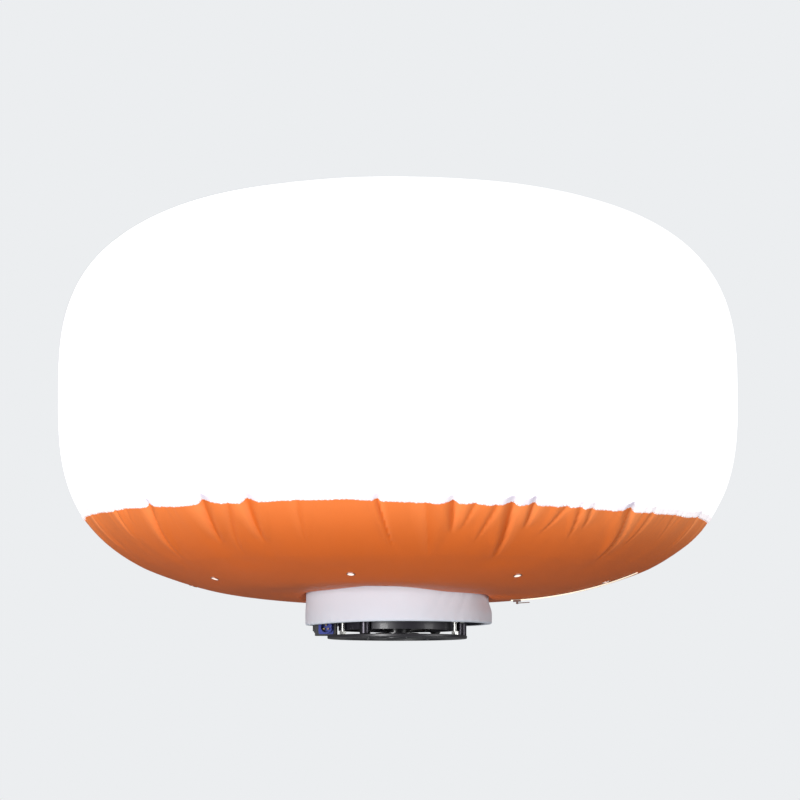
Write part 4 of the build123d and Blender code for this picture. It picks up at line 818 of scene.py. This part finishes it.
eyelet_along = along_at_radius(eyelet_circle)
roll_along = along_at_radius(floor_start)
rows = np.concatenate([
    spaced(0, eyelet_along - 0.0105, 0.0026, 0.0042),
    eyelet_along + 0.0035 * np.arange(-2, 3),
    spaced(eyelet_along + 0.0105, roll_along, 0.0040, 0.0110),
    spaced(roll_along, bowl_length, 0.0032, 0.0032)[1:],
])
bowl = spun("bowl", outline_at(rows), bowl_columns)
print("bowl has", len(bowl.data.polygons), "faces in", len(rows), "rows")

# %% [markdown]
# The bleed eyelets need real holes. Opening one is easy in this even grid: the face corners round the eyelet's
# middle are deleted, and the points near it are pushed outwards until their edge hides under the eyelet's flange.

# %% Fold the bowl and open its eyelet holes
def row_distance(piece):
    """How far each point of an unfolded sheet lies from the seam."""
    points = points_of(piece)
    radii = np.hypot(points[:, 0], points[:, 1])
    heights = points[:, 2]
    table_r, table_z = on_outline(rows)[:2]
    nearest = np.argmin((radii[:, None] - table_r) ** 2 + (heights[:, None] - table_z) ** 2, axis=1)
    return rows[nearest]


def eased(value):
    value = np.clip(value, 0, 1)
    return value * value * (3 - 2 * value)


neck_pull = np.array([(-180, 4), (-153, 10), (-130, 12), (-103, 17.5), (-84, 14.5), (-62, 8), (-40, 6.5), (-25, 6),
                      (-14, 0), (-1, 0), (8, 3), (40, 1), (90, 0), (140, 0), (180, 4)])


def neck_raise(angles, radii):
    """How far the floor near the neck is pulled up by the band, in metres: most at the front."""
    return blended(angles, neck_pull, (-4, -2, 0, 2, 4)) * eased((0.31 - radii) / 0.148)


def calm(angles, along, radii):
    """From 1 where the cloth may fold to 0 round the eyelets and the zip, which hold it flat."""
    zip_away = np.abs(np.radians(turned_apart(angles, zip_azimuth))) * radii
    held = eased((along - 0.11) / 0.03) * (1 - eased((zip_away - 0.008) / 0.02))
    return eased((eyelet_along - 0.012 - along) / 0.05) * (1 - held)


def fold_cloth(angles, along, sign=1.0):
    """Points of the cloth at azimuths in degrees and distances from the seam, shifted and folded."""
    settle = np.exp(-(np.abs(along) / 0.075) ** 1.5)
    shifted = along + seam_shift(angles) * settle
    r, z, nr, nz = on_outline(shifted)
    relief = gather_relief(angles, along)
    if sign > 0:
        relief += fold_relief(angles, along)
        relief *= calm(angles, along, r)
        z = z + neck_raise(angles, r)
    else:
        relief += fold_relief(angles, np.abs(along) * 1.7 + 0.004) * 0.8
    r, z = r + nr * relief, z + nz * relief
    return round_axis(np.radians(angles), r, z)


def frame_on_floor(radius, azimuth):
    """A place on the floor: X leads outwards along the cloth and Z points away from it."""
    r, z, nr, nz = on_outline(along_at_radius(radius))
    turn = radians(azimuth)
    z_axis = Vector((nr * cos(turn), nr * sin(turn), nz)).normalized()
    y_axis = z_axis.cross(Vector((cos(turn), sin(turn), 0))).normalized()
    place = Matrix((y_axis.cross(z_axis), y_axis, z_axis)).transposed().to_4x4()
    place.translation = (r * cos(turn), r * sin(turn), z)
    return place


flat_points = points_of(bowl)
bowl_along = row_distance(bowl)
bowl_angles = azimuths(flat_points)
folded = fold_cloth(bowl_angles, bowl_along)
centre_points = []
nearest_row, stretched_reach = 0.0020, 0.0140      # cloth between these distances is pushed outwards
hole_radius = 0.0052
for i in range(eyelet_count):
    at = np.array(frame_on_floor(eyelet_circle, eyelet_start + 360 / eyelet_count * i).translation)
    away = np.linalg.norm(folded - at, axis=1)
    centre_points.append(int(np.argmin(away)))
    near = (away < stretched_reach) & (away > 0.0005)
    direction = (folded[near] - at) / away[near][:, None]
    squeeze = (stretched_reach - hole_radius) / (stretched_reach - nearest_row)
    folded[near] = at + direction * (hole_radius + (away[near] - nearest_row)[:, None] * squeeze)
move_points(bowl, folded)
cloth_map(bowl, np.radians(bowl_angles) * 0.5, bowl_along)
# The mask is low where the cloth gets its painted glow, near the seam and on the folds' facets, and high in the creases
# and further down.
seam_painted_glow = 0.58 * np.exp(-(bowl_along / 0.062) ** 1.3)
paint_mask(bowl, "shade", 1 - seam_painted_glow - 0.62 * fold_painted_light(bowl_angles, bowl_along) * (0.30 + seam_painted_glow))
pick(bowl)
bpy.ops.object.mode_set(mode="EDIT")
bpy.ops.mesh.select_all(action="DESELECT")
bpy.ops.mesh.select_mode(type="VERT")
bpy.ops.object.mode_set(mode="OBJECT")
for index in centre_points:
    bowl.data.vertices[index].select = True
bpy.ops.object.mode_set(mode="EDIT")
bpy.ops.mesh.delete(type="VERT")
bpy.ops.object.mode_set(mode="OBJECT")
turn_outwards(bowl, (0, 0, 0.3))
dress(bowl, bowl_cloth, "envelope_lower")

# %% [markdown]
# ## The crown
# The crown is sewn from eight panels. Each panel bellies out a little between its seams, and each seam is a flat
# fell a few millimetres wide that lets slightly less light through. The folds of the bowl reach a short way up
# into it before the air pressure smooths them out.

# %% Cut the crown
crown_columns = 720
panel_count, panel_start = 8, -79.5
rows = -np.concatenate([spaced(0, 0.12, 0.0035, 0.009), spaced(0.12, crown_length, 0.010, 0.014)[1:]])
crown = spun("crown", outline_at(rows)[:-1] + [(0.0, crown_top)], crown_columns)
flat_points = points_of(crown)
crown_along = row_distance(crown)
crown_angles = azimuths(flat_points)
folded = fold_cloth(crown_angles, crown_along, -1.0)
to_seam = turned_apart((crown_angles - panel_start) % (360 / panel_count), 0)
to_seam = np.where(to_seam > 180 / panel_count, to_seam - 360 / panel_count, to_seam)
radii = np.hypot(flat_points[:, 0], flat_points[:, 1])
seam_away = np.abs(np.radians(to_seam)) * radii
belly = 0.0022 * np.cos(np.radians(crown_angles - panel_start) * panel_count / 2) ** 2
belly *= np.clip(radii / 0.3, 0, 1) * np.clip(-crown_along / 0.15, 0, 1)
fell = 0.0007 * (seam_away < 0.006) * (radii > 0.03)
inward = fell - belly
shrink = np.where(radii > 0.001, 1 + inward / np.maximum(radii, 0.05), 1)
folded[:, :2] *= shrink[:, None]
move_points(crown, folded)
cloth_map(crown, np.radians(crown_angles) * 0.55, crown_along)
# Painted shade on the crown's lower edge where the folds bunch up, and a faint dimming along each fell.
shade = fold_painted_shade(crown_angles) * eased(1 + crown_along / 0.022)
shade += 0.04 * (seam_away < 0.006) * (radii > 0.03)
paint_mask(crown, "shade", shade)
turn_outwards(crown, (0, 0, 0.3))
dress(crown, crown_cloth, "envelope_upper")

# %% [markdown]
# ## The binding
# A folded tape covers the raw edges where crown meets bowl. It stands a millimetre off the cloth and follows the
# seam line over every fold. It could be swept along a curve, but spun and folded like the sheets it is sure to lie
# on them.

# %% Lay the binding
binding_height = 0.0085
binding_columns = 1440
rows = np.array([0.0012, 0.0004, -0.0006, -0.0028, -0.0052, -0.0072, -binding_height, -binding_height - 0.0006])
puff = np.array([0.0003, 0.0013, 0.0016, 0.0015, 0.0015, 0.0015, 0.0013, 0.0002])
binding = spun("binding", outline_at(rows), binding_columns)
binding_along = row_distance(binding)
binding_angles = azimuths(points_of(binding))
gathers = 530
scallop = 0.0006 * np.abs(np.sin(np.radians(binding_angles) * gathers))
lies = np.interp(-binding_along, -rows, puff)
folded = fold_cloth(binding_angles, np.minimum(binding_along, 0) - 0.00001, -1.0)
nr, nz = on_outline(binding_along)[2:]
turn = np.radians(binding_angles)
lift = lies + 0.0003 * np.sin(turn * gathers)
folded += round_axis(turn, nr, nz) * lift[:, None]
folded[:, 2] += np.where(binding_along < -0.008, scallop, 0) - np.where(binding_along > 0.001, 0.0008 + scallop, 0)
move_points(binding, folded)
cloth_map(binding, turn * 0.51, binding_along)
# Painted shade on the binding where the folds bunch it.
shade = (0.04 + fold_painted_shade(binding_angles)) * np.interp(-binding_along, [-0.001, 0.002, 0.0085], [0.35, 0.9, 1.0])
paint_mask(binding, "shade", shade)
turn_outwards(binding, (0, 0, 0.4))
dress(binding, binding_tape, "seam_binding")
print("binding lies from", round(float(folded[:, 2].min()), 4), "to", round(float(folded[:, 2].max()), 4), "m")

# %% [markdown]
# ## The sleeve
# The sleeve is a tube of white cloth that hangs from the bowl's roll over the clamp band. Its hem is drawn in
# under the duct ring's edge, and the drawcord and the band pull faint slanting creases into it, most of them at
# the right. It gets real thickness with Solidify, because its hem shows the cloth's edge.

# %% Hang the sleeve
sleeve_low, sleeve_high = (corner[2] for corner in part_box("neck_sleeve"))
side_rows = [(sleeve_radius, z) for z in np.linspace(sleeve_high, sleeve_low + 0.0035, 28)]
hem_rows = [(sleeve_radius - 0.0004, sleeve_low + 0.0020), (sleeve_radius - 0.0016, sleeve_low + 0.0008),
            (sleeve_radius - 0.0050, sleeve_low + 0.0005), (sleeve_radius - 0.0096, sleeve_low + 0.0006)]
sleeve = spun("sleeve", [(float(r), float(z)) for r, z in side_rows + hem_rows], 360)
points = points_of(sleeve)
angles = azimuths(points)
up = (points[:, 2] - sleeve_low) / (sleeve_high - sleeve_low)
creases = [(-96, 16, 0.0009, 7), (-60, -15, 0.0014, 5), (-50, -20, 0.0016, 5), (-41, -14, 0.0012, 4),
           (-128, 10, 0.0010, 6), (-152, -12, 0.0012, 6), (-18, -10, 0.0010, 6), (12, 14, 0.0012, 6),
           (48, -13, 0.0012, 6), (84, 12, 0.0014, 6), (121, -16, 0.0012, 7), (158, 10, 0.0012, 6)]
relief = soft_waves(angles, {3: 0.0004, 5: 0.0004, 9: 0.0002}, 9)
for middle, slant, depth, width in creases:
    off = turned_apart(angles, middle + slant * (0.75 - up)) / width
    relief -= depth * np.exp(-np.abs(off) ** 1.3) * np.clip(4 * (up - 0.08) * (1.02 - up), 0, 1)
pulls = 0.0008 * np.abs(np.sin(np.radians(angles) * 24)) * np.clip(1 - up / 0.22, 0, 1)
radii = np.hypot(points[:, 0], points[:, 1])
loose = eased((0.062 - points[:, 2]) / 0.022)
flare = 0.0012 + 0.0042 * np.exp(-(turned_apart(angles, 5) / 42) ** 2)
scale = 1 + (np.minimum(relief, 0.0) - pulls + flare * loose) / radii
sag = 0.0030 + 0.0028 * np.exp(-(turned_apart(angles, -160) / 40) ** 2)
points[:, 2] -= sag * eased(1 - up / 0.5)
points[:, 2] += neck_raise(angles, radii) * eased((points[:, 2] - 0.045) / 0.035)
points[:, :2] *= scale[:, None]
move_points(sleeve, points)
cloth_map(sleeve, np.radians(angles) * sleeve_radius, points[:, 2])
turn_outwards(sleeve, (0, 0, 0.05))
thicken(sleeve, 0.0013, -1)
dress(sleeve, sleeve_cloth, "neck_sleeve")
print("sleeve has", len(sleeve.data.polygons), "faces")

# %% [markdown]
# ## The stitches
# A thread in the bowl's own colour runs along the seam's lower edge in three-millimetre stitches. One stitch is a
# short six-sided bar whose ends dip into the cloth. It is copied round the axis and the copies follow the seam.

# %% Sew the seam
stitch_count = 1056
stitch_along = -0.0004
r0, z0 = on_outline(stitch_along)[:2]
bpy.ops.object.select_all(action="DESELECT")
bpy.ops.mesh.primitive_cylinder_add(vertices=6, radius=0.00055, depth=0.0023, location=(r0, 0, z0),
                                    rotation=(pi / 2, 0, 0))
stitches = bpy.context.object
stitches.name = stitches.data.name = "seam_stitches"
bpy.ops.object.transform_apply(location=True, rotation=True, scale=True)
bpy.ops.object.mode_set(mode="EDIT")
bpy.ops.mesh.select_all(action="SELECT")
bpy.ops.mesh.spin(steps=stitch_count - 1, dupli=True, angle=2 * pi * (stitch_count - 1) / stitch_count,
                  center=(0, 0, 0), axis=(0, 0, 1))
bpy.ops.object.mode_set(mode="OBJECT")
points = points_of(stitches)
angles = azimuths(points)
part = (angles * stitch_count / 360 + 0.5) % 1 - 0.5
radial = np.hypot(points[:, 0], points[:, 1]) - r0 + 0.0014 - 0.0035 * part ** 2
upright = points[:, 2] - z0
middle = fold_cloth(angles, np.full(len(angles), stitch_along), -1.0)
middle += round_axis(np.radians(angles), radial, upright - 0.0006)
move_points(stitches, middle)
stitches.data.materials.append(hard_finish("seam thread", (0.50, 0.14, 0.05), 0.6, drift=0.1))
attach(stitches, "base")
print("stitches:", stitch_count)

# %% [markdown]
# ## The inner cuff, the patch, the strap and the zip's tape
# Four small cloth pieces are mostly hidden. The cuff is the bowl's own neck edge, turned inwards and clamped to the
# flange by the band. The patch spreads the strap's pull over the crown's middle, and the strap keeps the crown from
# lifting off the column. The tape carries the zip's coil. Each is a thin sheet with Solidify where an edge shows.

# %% Cut the small pieces
def strip(name, points, half_width, along_y=True):
    """A flat strip along a line of (x, z) points, as wide as half_width tells at each of them."""
    bpy.ops.object.select_all(action="DESELECT")
    bpy.ops.mesh.primitive_grid_add(x_subdivisions=len(points) - 1, y_subdivisions=4, size=1, location=(0, 0, 0))
    piece = bpy.context.object
    piece.name = piece.data.name = name
    grid = points_of(piece)
    step = np.rint((grid[:, 0] + 0.5) * (len(points) - 1)).astype(int)
    line = np.array(points)
    shaped = np.stack([line[step, 0], grid[:, 1] * 2 * np.array(half_width)[step], line[step, 1]], axis=1)
    move_points(piece, shaped)
    walked = np.concatenate([[0], np.cumsum(np.hypot(*np.diff(line, axis=0).T))])
    cloth_map(piece, shaped[:, 1], walked[step])
    return piece


cuff_rows = [(0.1369, float(z)) for z in np.linspace(0.044, 0.0785, 12)]
cuff_rows += [(0.1372, 0.0800), (0.1385, 0.0806), (0.1440, 0.0806), (0.1476, 0.0806)]
cuff = spun("cuff", cuff_rows, 240)
points = points_of(cuff)
angles = azimuths(points)
points[:, 2] += neck_raise(angles, np.hypot(points[:, 0], points[:, 1])) * eased((points[:, 2] - 0.060) / 0.020)
move_points(cuff, points)
cloth_map(cuff, np.radians(angles) * 0.14, points[:, 2] + np.hypot(points[:, 0], points[:, 1]))
thicken(cuff, 0.0010)
dress(cuff, sleeve_cloth, "neck_cuff")

patch_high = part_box("crown_patch")[1][2]
patch_radii = (0.055, 0.050, 0.040, 0.025, 0.010, 0.002, 0.0)
patch = spun("patch", [(r, patch_high - 0.0004 - 0.0002 * (r / 0.055) ** 2) for r in patch_radii], 64)
points = points_of(patch)
cloth_map(patch, points[:, 0], points[:, 1])
thicken(patch, 0.0008, -1)
dress(patch, webbing_cloth, "crown_patch")

strap_low, strap_high = (corner[2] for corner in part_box("crown_tether"))
side = 0.0008
line = [(side, z) for z in np.linspace(strap_high - 0.0004, strap_low + 0.022, 30)]
turned = [(0.0022, 0.014), (0.0034, 0.007), (0.0022, 0.0022), (0.0, 0.0008), (-0.0022, 0.0022), (-0.0034, 0.007),
          (-0.0022, 0.014)]
line += [(x, strap_low + up) for x, up in turned]
line += [(-side, z) for z in np.linspace(strap_low + 0.022, strap_low + 0.075, 8)]
widths = [0.0028 + 0.0072 * float(eased((z - strap_low - 0.018) / 0.02)) for _, z in line]
strap = strip("strap", line, widths)
thicken(strap, 0.0007)
dress(strap, webbing_cloth, "crown_tether")

zip_rows = np.linspace(along_at_radius(0.3868), along_at_radius(0.1832), 70)
tape = strip("tape", [(float(a), 0.0) for a in zip_rows], [0.0047] * 70)
points = points_of(tape)
r, z, nr, nz = on_outline(points[:, 0])
side_angle = points[:, 1] / r
turn = radians(zip_azimuth) + side_angle
r, z = r + nr * 0.0006, z + nz * 0.0006
move_points(tape, round_axis(turn, r, z))
turn_outwards(tape, (0.2, 0, 0.3))
dress(tape, zip_cloth, "zip_tape")
print("small pieces:", [piece.name for piece in (cuff, patch, strap, tape)])
